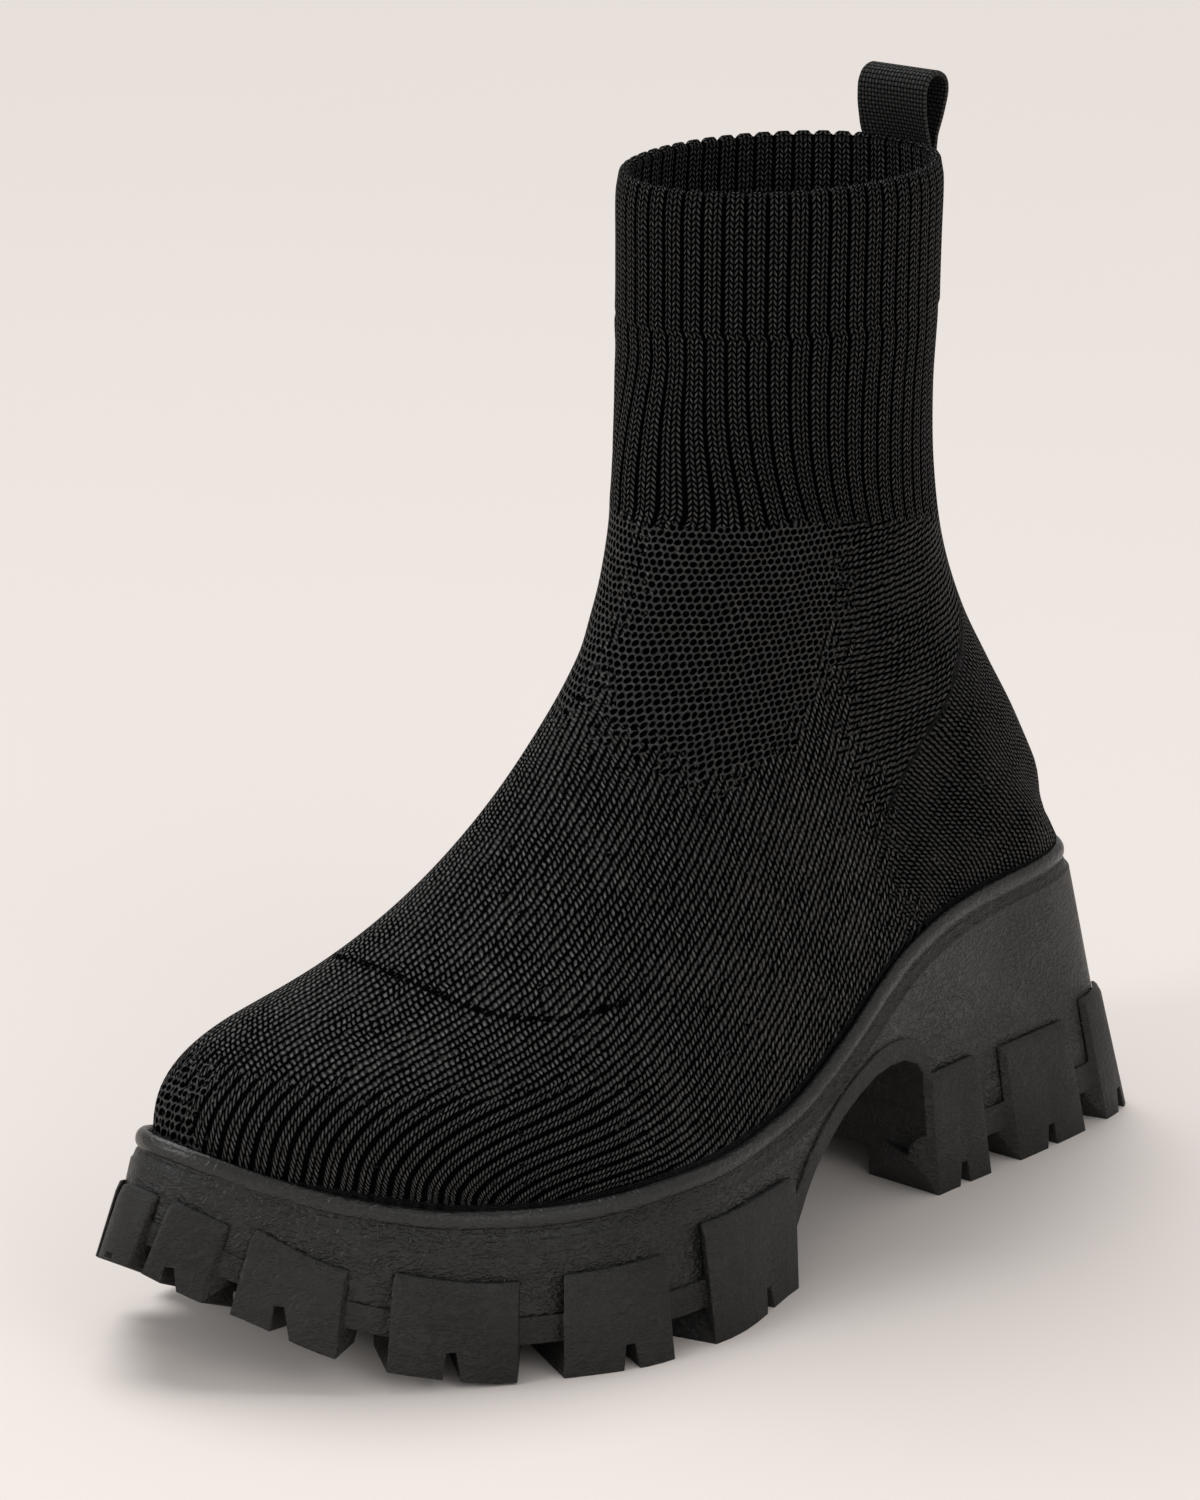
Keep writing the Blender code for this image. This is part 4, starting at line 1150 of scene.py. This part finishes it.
@dataclass
class SockKnit:
    """Knitted sock with rib relief, turned cuff, rolled rim and inner face.

    Args:
        shape: the sock's outer face.
        ribs: ribs round the leg.
        columns: fine columns round the sock.
        foot: fine rows on the foot.
        leg: fine rows on the leg.
        inner_step: outer rows per inner row.
        wall: thickness of the knit, mm.
        skirt: how far the knit runs down inside the lip, mm.
        rib_depth: depth of the grooves between ribs, mm.
        rib_full: extra thickness of the ribs inside, mm.
        cuff_step: the turned cuff's stand-off, mm.
        cuff_z: height of the cuff's lower edge, mm.
        cuff_jog: jog of the ribs at the cuff, in ribs.
        cuff_edge: where its step rises, from its lower edge, mm.
        rib_end: height where the ribs end, mm.
        rib_fade: half the height over which they fade, mm.
        rib_dip: lowering of that end toward the back, per mm squared.
        dip_range: where round the leg that lowering starts and how far it goes on, mm.
        pair_pitch: pitch of the toe's bold wale pairs, mm.
        pair_depth: depth of the grooves between those pairs, mm.
        heel_full: how far the heel swells over the lip's back, mm.
        heel_z: height and spread of that swell, mm.
        heel_fade: where along the shoe it ends, mm.
        pairs_along: where along the shoe the bold wale pairs begin, mm.
        pairs_above: where over the lip they end, mm.
        rim_rise: rise of the rolled rim, mm.
        rim_low: share of that rise between the ribs.
        crease_lean: slope of the ankle's creases.
    """

    shape: SockShape
    ribs: int = 48
    columns: int = 384
    foot: int = 104
    leg: int = 76
    inner_step: int = 4
    wall: float = 2.2
    skirt: float = 5.0
    rib_depth: float = 0.55
    rib_full: float = 0.35
    cuff_step: float = 0.6
    cuff_z: float = 204.6
    cuff_jog: float = 0.22
    cuff_edge: tuple = (-0.5, 0.9)
    rib_end: float = 163.5
    rib_fade: float = 2.0
    rib_dip: float = 0.0015
    dip_range: tuple = (20.0, 90.0)
    pair_pitch: float = 3.7
    pair_depth: float = 0.60
    heel_full: float = 2.9
    heel_z: tuple = (79.0, 13.0)
    heel_fade: tuple = (24.0, 62.0)
    pairs_along: tuple = (172.0, 214.0)
    pairs_above: tuple = (14.0, 30.0)
    rim_rise: float = 1.55
    rim_low: float = 0.35
    crease_lean: float = 0.10

    def outward(self, points: np.ndarray) -> np.ndarray:
        """Directions out of the sock.

        Args:
            points: the outer rows.

        Returns:
            A unit direction at every point.
        """
        down = np.gradient(points, axis=0)
        side = np.gradient(points, axis=1)
        side[self.foot:, 0] = side[self.foot:, -1] = (
            points[self.foot:, 1] - points[self.foot:, -2]) / 2
        normal = np.cross(side, down)
        normal /= np.linalg.norm(normal, axis=2)[:, :, None]
        outside = np.sum(normal[-1] * (points[-1] - points[-1].mean(axis=0))) >= 0
        return normal if outside else -normal

    def rib_phase(self, z: np.ndarray) -> np.ndarray:
        """Rib number round the leg, with its jog where the cuff is turned."""
        shares = np.linspace(0, 1, self.columns + 1)
        return shares[None, :] * self.ribs + 0.5 + self.cuff_jog * (z > self.cuff_z)

    def rib_groove(self, phase: np.ndarray) -> np.ndarray:
        """Depth share of the groove between ribs, 1 in its middle."""
        return ease(0.50, 1.0, np.abs(np.mod(phase, 1) - 0.5) * 2)

    def build(self) -> bpy.types.Object:
        """Closed mesh with maps of wales and courses and masks of the knit's zones.

        Returns:
            The piece.
        """
        base, run = self.shape.fine(self.columns, self.foot, self.leg)
        normal = self.outward(base)
        z = base[:, :, 2]
        step = np.linalg.norm(np.diff(base, axis=1), axis=2)
        side = np.concatenate([np.zeros((len(base), 1)), np.cumsum(step, axis=1)], axis=1)
        side -= side[:, self.columns // 2][:, None]
        dip_start, dip_reach = self.dip_range
        dip = self.rib_dip * np.clip(np.abs(side) - dip_start, 0, dip_reach) ** 2
        ribbed = ease(-self.rib_fade, self.rib_fade, z + dip - self.rib_end)
        phase = self.rib_phase(z)
        groove = self.rib_groove(phase) * ribbed
        lift = self.cuff_step * ease(*self.cuff_edge, z - self.cuff_z)
        bold = self.toe_mask(base)
        pair = ease(0.42, 1.0, np.abs(np.mod(side / self.pair_pitch, 1) - 0.5) * 2)
        relief = lift - self.rib_depth * groove - self.pair_depth * pair * bold
        relief = relief - self.creases(side, run) + self.heel_swell(base)
        outer = base + normal * relief[:, :, None]
        inner_rows = np.unique([*range(0, self.foot, self.inner_step), self.foot,
                                *range(self.foot + 2, len(base), self.inner_step), len(base) - 1])
        depth = self.wall + self.rib_full * (1 - groove) * ribbed - lift
        inner = (base - normal * depth[:, :, None])[inner_rows]
        rolls = self.rim(outer[-1], inner[-1], phase[-1])
        shell = SockShell(outer, inner, rolls, inner_rows, self.foot, self.skirt)
        return shell.dress(SockGrid(base, run, side, phase, ribbed, bold))

    def toe_mask(self, base: np.ndarray) -> np.ndarray:
        """Where the toe's bold wale pairs lie, by the way along the shoe and over the lip."""
        above = base[:, :, 2] - height_at(base[:, :, 0], LIP_Z)
        return ease(*self.pairs_along, base[:, :, 0]) * (1 - ease(*self.pairs_above, above))

    def heel_swell(self, base: np.ndarray) -> np.ndarray:
        """Fullness of the heel over the lip's back, mm."""
        low = np.exp(-((base[:, :, 2] - self.heel_z[0]) / self.heel_z[1]) ** 2)
        return self.heel_full * low * (1 - ease(*self.heel_fade, base[:, :, 0]))

    def creases(self, side: np.ndarray, run: np.ndarray) -> np.ndarray:
        """Soft troughs placed at the ankle's bend.

        Args:
            side: way round from the front, mm.
            run: way of each row along the sides, mm.

        Returns:
            Their depth, mm.
        """
        total = np.zeros_like(side)
        for middle, place, length, width, depth in CREASES:
            across = (side - middle) / length
            off = run[:, None] - place - self.crease_lean * (side - middle)
            total += depth * np.exp(-(off / width) ** 2 - across ** 4)
        return total

    def rim(self, outer: np.ndarray, inner: np.ndarray, phase: np.ndarray) -> np.ndarray:
        """Rolled rim, a little lower between the ribs.

        Args:
            outer: last row of the outer face.
            inner: last row of the inner face.
            phase: rib number along those rows.

        Returns:
            Rows from the outer face over to the inner one.
        """
        middle, half = (outer + inner) / 2, (outer - inner) / 2
        ribbed = 1 - self.rib_groove(phase)
        rise = self.rim_rise * (self.rim_low + (1 - self.rim_low) * ribbed)
        return np.array([middle + half * math.cos(a) + np.outer(rise * math.sin(a), [0, 0, 1.0])
                         for a in np.radians(range(25, 151, 25))])


def stitch_group() -> bpy.types.NodeTree:
    """Node group of one knit stitch, repeated over wale and course numbers.

    Returns:
        A group whose height is 1 on the yarn and 0 between the yarns.
    """
    graph, entry, leave = new_group("Knit stitch", {
        "Wale": 0.0, "Course": 0.0, "Slant": 0.6, "Bead": 0.5, "Leg": 0.24, "Width": 0.24,
    }, ("Height",))
    across = entry["Wale"].fraction() - 0.5
    leg = abs(across)
    off = (leg - entry["Leg"]) / entry["Width"]
    body = (1.0 - off * off).most(0.0) ** 0.7
    lean = graph.mix(entry["Leg"].over(0.01), across, leg) * entry["Slant"]
    wave = ((entry["Course"] + lean * 2.0) * TURN).sine()
    chance = graph.read("Value", "ShaderNodeTexWhiteNoise", {"W": entry["Wale"].whole()},
                        noise_dimensions="1D")
    share = entry["Bead"] * (chance * 0.35 + 0.70)
    bead = graph.ramp(wave, -0.75, 0.45) * share + (1.0 - share)
    graph.feed(leave, {"Height": body * (chance * 0.22 + 0.80) * bead})
    return graph.tree


def net_group() -> bpy.types.NodeTree:
    """Node group of a staggered net.

    Returns:
        A group whose height is 1 on the threads and 0 in the round holes.
    """
    graph, entry, leave = new_group("Knit net", {"Across": 0.0, "Down": 0.0}, ("Height",))
    half = entry["Down"] * 0.5
    left, down, right = [(value * TURN).cosine() for value in (
        entry["Across"] - half, entry["Down"], entry["Across"] + half)]
    thread = graph.ramp(left + down + right, 0.30, -0.98)
    graph.feed(leave, {"Height": thread * (0.80 - down * 0.16)})
    return graph.tree


@dataclass(frozen=True)
class KnitFinish:
    """Near-black knit with beaded ribs, open mesh, heel arcs, plain wales and bold toe pairs.

    Args:
        name: the material's name.
        dark: colour between the yarns and in the holes, painted shade there.
        yarn: colour of the yarn.
        glint: colour of the painted glints on the yarn's tops.
        rib_course: stitch height on the ribs, mm.
        rib_share: share of a rib's pitch that its two wales take.
        wale: wale pitch on the foot, mm.
        course: stitch height on the foot, mm.
        pair_share: share of the bold pairs' pitch that the pair takes.
        net_across: pitch of the open mesh across, mm.
        net_down: pitch of its rows, mm.
        hole_pitch: pitch of the toe's small holes, mm.
        arc: pitch of the heel's fine courses, mm.
        arc_stitch: length of their stitches, mm.
        seam_pitch: pitch of the vamp seam's holes, mm.
        depth: depth of the stitches, m.
        plain_gain: how much lighter the plain wales' yarn is.
        gains: the same for bold pairs, toe holes, heel lines, open mesh and ribs.
        inside_gain: the same inside the sock, painted light that lifts the shade there.
        drift_scale: scale of the noise that bends the yarns.
        slow_scale: scale of the noise that bends the rows.
        vary_scale: scale of the patches where stitches stand out less.
        fuzz_scale: scale of the yarn's fuzz.
        glint_scale: scale of the painted glints.
    """

    name: str = "knit"
    dark: tuple = (0.0009, 0.0009, 0.0009)
    yarn: tuple = (0.0235, 0.0230, 0.0226)
    glint: tuple = (0.062, 0.061, 0.060)
    rib_course: float = 1.30
    rib_share: float = 0.87
    wale: float = 1.85
    course: float = 1.35
    pair_share: float = 0.76
    net_across: float = 1.8
    net_down: float = 1.55
    hole_pitch: float = 1.7
    arc: float = 1.45
    arc_stitch: float = 2.0
    seam_pitch: float = 2.3
    depth: float = 0.00075
    plain_gain: float = 1.65
    gains: tuple = (1.4, 0.7, 0.8, 0.60, 0.95)
    inside_gain: float = 2.2
    drift_scale: float = 420.0
    slow_scale: float = 130.0
    vary_scale: float = 75.0
    fuzz_scale: float = 2600.0
    glint_scale: float = 1000.0

    def build(self, stitch: bpy.types.NodeTree, net: bpy.types.NodeTree) -> bpy.types.Material:
        """Material that blends the knit's zones by the mesh's masks.

        Args:
            stitch: the knit stitch group.
            net: the knit net group.

        Returns:
            The material.
        """
        def knit(group: bpy.types.NodeTree, **values: Wire | float) -> Wire:
            """Height of a knit group."""
            return graph.read("Height", "ShaderNodeGroup", values, node_tree=group)

        material, graph, shader = plain_material(self.name)
        rib, high = graph.split_map("Leg")
        side, run = graph.split_map("Foot")
        place = graph.place()
        drift = graph.noise(place, self.drift_scale) - 0.5
        slow = graph.noise(place, self.slow_scale, 3.0) - 0.5
        vary = graph.ramp(graph.noise(place, self.vary_scale), 0.30, 0.70, 0.58, 0.88)
        course = run / self.course + slow * 2.4
        height = knit(stitch, Wale=side / self.wale + drift * 0.75, Course=course, Slant=0.42,
                      Bead=vary, Leg=0.0, Width=0.40)
        away, half = rib.fraction() - 0.5, self.rib_share / 2
        ribs = knit(stitch, Wale=away / half + (rib.whole() * 2.0 + 2.0) + drift * 0.16,
                    Course=high / self.rib_course + slow * 0.9, Slant=1.0, Bead=0.85, Leg=0.24,
                    Width=0.22)
        pair = (side * (0.5 / self.wale)).fraction() - 0.5 + drift * 0.10
        pairs = knit(stitch, Wale=pair * (2 / self.pair_share) + 2.0, Course=course, Slant=0.9,
                     Bead=0.85, Leg=0.0, Width=0.48)
        comb = knit(net, Across=side / self.net_across + drift * 0.75,
                    Down=high / self.net_down + slow * 1.1)
        holes = knit(net, Across=side / self.hole_pitch + drift * 0.5,
                     Down=run / self.hole_pitch + drift * 0.5)
        arcs = knit(stitch, Wale=graph.attribute("arc_line") / self.arc + drift * 0.8,
                    Course=graph.attribute("along") / self.arc_stitch + slow * 1.6,
                    Slant=0.4, Bead=vary * 0.85, Leg=0.0, Width=0.40)
        fold = graph.ramp(graph.attribute("arc_fold"), 0.2, 1.0, 0.72, 1.0)
        # painted shade: the ribs' and bold pairs' masks take the height to zero in their grooves,
        # which then take the dark colour
        zones = {
            "bold": pairs * graph.ramp(abs(pair), 0.41, 0.33),
            "toe_holes": holes,
            "arcs": arcs * fold,
            "open_mesh": comb,
            "ribbed": ribs * graph.ramp(abs(away), half + 0.05, half - 0.04),
        }
        gain = self.plain_gain
        for (mask, zone), level in zip(zones.items(), self.gains):
            share = graph.ramp(drift * 2.0 + graph.attribute(mask), 0.30, 0.70)
            height = graph.mix(share, height, zone)
            gain = graph.mix(share, gain, level)
        height = height * self.hole_seam(graph, side, drift)
        # painted light: the yarn inside the sock is made lighter to lift the shade there
        gain = graph.mix(graph.attribute("inside"), gain, self.inside_gain)
        self.colour(graph, shader, height, gain)
        return material

    def hole_seam(self, graph: Graph, side: Wire, drift: Wire) -> Wire:
        """Row of small holes over the vamp, drawn as painted shade.

        Args:
            graph: the material's Graph.
            side: way round from the front, mm.
            drift: small noise that bends the row.

        Returns:
            Share of the yarn's height that is left, 1 away from the row.
        """
        off = abs(drift * 0.8 + graph.attribute("seam_off"))
        near = graph.ramp(off, 1.0, 0.45) * graph.attribute("seam_end")
        dots = graph.ramp((side * (TURN / self.seam_pitch)).sine(), -0.5, 0.5, 0.25, 1.0)
        return 1.0 - near * dots

    def colour(self, graph: Graph, shader: bpy.types.NodeInputs, height: Wire,
               gain: Wire) -> None:
        """Colour, gloss and relief from the yarn's height, with painted shade where it is low and
        painted glints on its tops.

        Args:
            graph: the material's Graph.
            shader: the shader's inputs.
            height: height of the yarn.
            gain: how much lighter the yarn is.
        """
        place = graph.place()
        fuzz = graph.noise(place, self.fuzz_scale, 3.0)
        # painted shade: where the height is low, between yarns, in holes and in grooves, the colour
        # goes to dark and the gloss goes
        lit = graph.ramp(height, 0.22, 0.80)
        # painted highlight: noise spots on the yarn's tops are tinted toward the glint colour
        painted_glints = graph.ramp(graph.noise(place, self.glint_scale), 0.46, 0.66)
        painted_glints = painted_glints * graph.ramp(height, 0.50, 0.92)
        tone = graph.tint(painted_glints, graph.tint(lit, self.dark, self.yarn), self.glint)
        graph.feed(shader, {
            "Base Color": graph.read(0, "ShaderNodeVectorMath", {0: tone, "Scale": gain},
                                     operation="SCALE"),
            "Roughness": graph.mix(fuzz, 0.52, 0.80),
            "Specular IOR Level": lit * 0.34,
            "Normal": graph.bump(fuzz * 0.10 + height, self.depth, 1.0),
        })


@dataclass
class PullLoop:
    """Webbing strip folded into a loop at the collar's back.

    Args:
        width: webbing width, mm.
        thickness: webbing thickness, mm.
        collar_back: x of the collar's back on the cuff, mm.
        rim_z: height of the collar's rim at the back, mm.
        bow: radius of the collar's back, mm.
        bow_end: height over the rim where the bow begins to fade and its fade, mm.
        rows: rows along the strip.
        columns: points across each face.
    """

    width: float = 20.0
    thickness: float = 1.3
    collar_back: float = 56.1
    rim_z: float = 236.4
    bow: float = 29.17
    bow_end: tuple = (2.0, 12.0)
    rows: int = 180
    columns: int = 25

    def build(self) -> bpy.types.Object:
        """Closed strip with its own weave map.

        Returns:
            The piece.
        """
        steps, fine = np.linspace(0, 1, len(LOOP_PATH)), np.linspace(0, 1, self.rows)
        middle = np.column_stack([smooth(steps, LOOP_PATH[:, k], fine) for k in (0, 1)])
        along = np.gradient(middle, axis=0)
        along /= np.linalg.norm(along, axis=1)[:, None]
        run = np.concatenate([[0.0], np.cumsum(np.linalg.norm(np.diff(middle, axis=0), axis=1))])
        y, off = self.ring().T
        start, fade = self.bow_end
        follow = 1 - np.clip((middle[:, 1:] - start) / fade, 0, 1)
        bow = follow * (self.bow - np.sqrt(self.bow ** 2 - y ** 2))
        x = self.collar_back + middle[:, :1] - along[:, 1:] * off + bow
        z = self.rim_z + middle[:, 1:] + along[:, :1] * off
        count = len(y)
        verts = np.stack([x, np.broadcast_to(y, x.shape), z], -1).reshape(-1, 3)
        ends = [tuple(range(count)), tuple(range(len(verts) - 1, len(verts) - count - 1, -1))]
        faces = ends + [(b, a, d, c) for a, b, c, d in band_faces(self.rows, count)]
        piece = make_piece("loop_webbing", verts, faces, "pull_loop")
        corner = np.concatenate(faces)
        add_map(piece.data, "Weave", np.column_stack([y[corner % count], run[corner // count]]))
        return piece

    def ring(self) -> np.ndarray:
        """Cross-section of the strip with round edges.

        Returns:
            Place across the strip and offset from its mid line, mm.
        """
        thick = self.thickness / 2
        edge = self.width / 2 - thick
        across = np.linspace(-edge, edge, self.columns)
        face = [(y, thick) for y in across]
        face += [(edge + thick * math.sin(a), thick * math.cos(a))
                 for a in np.radians(range(30, 151, 30))]
        back = [(y, -thick) for y in across[::-1]]
        back += [(-edge - thick * math.sin(a), -thick * math.cos(a))
                 for a in np.radians(range(30, 151, 30))]
        return np.array(face + back)


@dataclass(frozen=True)
class WovenFinish:
    """Basket-woven webbing or plain woven fabric.

    Args:
        name: the material's name.
        pitch: distance between the weave's cells, mm.
        dark: colour between the yarns, painted shade there.
        light: colour on the yarns.
        depth: depth of the weave, m.
        mapped: True where the piece has a Weave map, else its own place is used.
    """

    name: str
    pitch: float
    dark: tuple
    light: tuple
    depth: float
    mapped: bool = True

    def build(self) -> bpy.types.Material:
        """Material of over and under yarns.

        Returns:
            The material.
        """
        material, graph, shader = plain_material(self.name)
        place = graph.place()
        across, along = graph.split_map("Weave") if self.mapped else graph.split(place)
        rate = math.pi / self.pitch if self.mapped else math.pi / (self.pitch * MM)
        sway = graph.noise(place, 500.0) * 0.8
        weave = (across * rate + sway).sine() * (along * rate + sway).sine()
        height = abs(weave) ** 0.5 * graph.ramp(weave, -0.2, 0.2, 0.72, 1.0)
        fuzz = graph.noise(place, 2400.0, 3.0)
        graph.feed(shader, {
            # painted shade: low places of the weave, between the yarns and, less, on yarns that
            # pass under, take the dark colour
            "Base Color": graph.tint(graph.ramp(height, 0.2, 0.85), self.dark, self.light),
            "Roughness": graph.mix(fuzz, 0.55, 0.80),
            "Specular IOR Level": graph.ramp(height, 0.15, 0.9, 0.0, 0.32),
            "Normal": graph.bump(fuzz * 0.08 + height, self.depth, 0.9),
        })
        return material


@dataclass
class Studio:
    """Camera, pale floor and soft lights of the photo.

    Args:
        camera: the camera's place, m.
        azimuth: direction from the shoe to the camera, degrees from +X.
        elevation: the camera's direction above the horizon, degrees.
        lens: focal length, mm.
        floor: colour of the floor.
        floor_reach: the floor's reach from the middle, m.
        air: colour of the light from all round.
        air_strength: its strength.
        sun: place, power and spread in degrees of the even light.
        lights: name, place, size in m and power in W of each soft light.
        light_spread: angle of the soft lights' beam, degrees.
        light_aim: place that they look at, m.
    """

    camera: tuple = (0.8549, 0.77746, 0.4548)
    azimuth: float = 43.0
    elevation: float = 16.5
    lens: float = 130.8
    floor: tuple = (0.812, 0.757, 0.724)
    floor_reach: float = 12.0
    air: tuple = (1.0, 0.98, 0.96)
    air_strength: float = 0.52
    sun: tuple = ((-0.15, -0.45, 1.0), 1.55, 38.0)
    lights: tuple = (("side_light", (0.4, 2.2, 1.3), 1.6, 6.0),
                     ("toe_light", (1.7, -0.5, 0.8), 0.6, 5.5))
    light_spread: float = 140.0
    light_aim: tuple = (0.0, 0.0, 0.09)

    def place(self, name: str, data: bpy.types.ID, spot: tuple, target: tuple) -> bpy.types.Object:
        """Put a camera or a light in the scene.

        Args:
            name: the object's name.
            data: its camera or light.
            spot: its place, m.
            target: place that it looks at, m.

        Returns:
            The object.
        """
        obj = bpy.data.objects.new(name, data)
        bpy.context.scene.collection.objects.link(obj)
        obj.location = spot
        away = Vector(target) - Vector(spot)
        obj.rotation_euler = away.to_track_quat("-Z", "Y").to_euler()
        return obj

    def add_camera(self) -> None:
        """The photo's own camera, upright and without blur."""
        data = bpy.data.cameras.new("photo_camera")
        data.sensor_fit = "VERTICAL"
        data.sensor_height = 36.0
        data.lens = self.lens
        data.clip_start = 0.01
        data.clip_end = 50.0
        a, e = math.radians(self.azimuth), math.radians(self.elevation)
        back = Vector((math.cos(a) * math.cos(e), math.sin(a) * math.cos(e), math.sin(e)))
        target = Vector(self.camera) - back
        bpy.context.scene.camera = self.place("photo_camera", data, self.camera, target)

    def add_floor(self) -> None:
        """Wide pale floor that fills the view."""
        mesh = bpy.data.meshes.new("studio_floor")
        far = self.floor_reach
        mesh.from_pydata([(-far, -far, 0), (far, -far, 0), (far, far, 0), (-far, far, 0)], [],
                         [(0, 1, 2, 3)])
        floor = bpy.data.objects.new("studio_floor", mesh)
        bpy.context.scene.collection.objects.link(floor)
        material, graph, shader = plain_material("studio_paper")
        dim = tuple(c * 0.985 for c in self.floor)
        graph.feed(shader, {
            "Base Color": graph.tint(graph.noise(graph.place(), 3.0), self.floor, dim),
            "Roughness": 0.95,
            "Specular IOR Level": 0.05,
        })
        mesh.materials.append(material)

    def add_lights(self) -> None:
        """The even sun, the soft square lights and the light from all round."""
        spot, power, spread = self.sun
        data = bpy.data.lights.new("key_sun", "SUN")
        data.energy, data.angle = power, math.radians(spread)
        self.place("key_sun", data, spot, (0, 0, 0))
        for name, spot, size, power in self.lights:
            data = bpy.data.lights.new(name, "AREA")
            data.shape, data.size, data.energy = "SQUARE", size, power
            data.spread = math.radians(self.light_spread)
            self.place(name, data, spot, self.light_aim)
        world = bpy.data.worlds.new("studio_air")
        bpy.context.scene.world = world
        world.use_nodes = True
        background = world.node_tree.nodes["Background"].inputs
        background["Color"].default_value = (*self.air, 1)
        background["Strength"].default_value = self.air_strength

    def build(self) -> None:
        """Set up the studio."""
        self.add_camera()
        self.add_floor()
        self.add_lights()
        bpy.context.scene.view_settings.view_transform = "Standard"


def main() -> None:
    """Build the sock boot's looks piece by piece."""
    logging.basicConfig(level=logging.INFO, format="%(name)s %(message)s")
    for old in list(bpy.data.objects):
        bpy.data.objects.remove(old)
    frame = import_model()
    grain = rubber_grain()
    for maker, finish in (
            (Midsole(SoleLines()), RubberFinish("midsole_rubber", edge=0.0002).build(grain)),
            (Outsole(frame["nodes"]["outsole"]),
             RubberFinish("outsole_rubber", roughness=0.60).build(grain)),
            (Insole(SoleLines(steps=240)),
             WovenFinish("insole_fabric", 0.9, (0.004, 0.004, 0.004), (0.02, 0.02, 0.021),
                         0.0002, mapped=False).build()),
            (SockKnit(SockShape()), KnitFinish().build(stitch_group(), net_group())),
            (PullLoop(),
             WovenFinish("webbing", 0.95, (0.0022, 0.0022, 0.0022), (0.029, 0.0287, 0.0283),
                         0.00035).build())):
        piece = maker.build()
        piece.data.materials.clear()
        piece.data.materials.append(finish)
        log.info("%s %d faces", piece.name, len(piece.data.polygons))
    Studio().build()


if __name__ == "__main__":
    main()
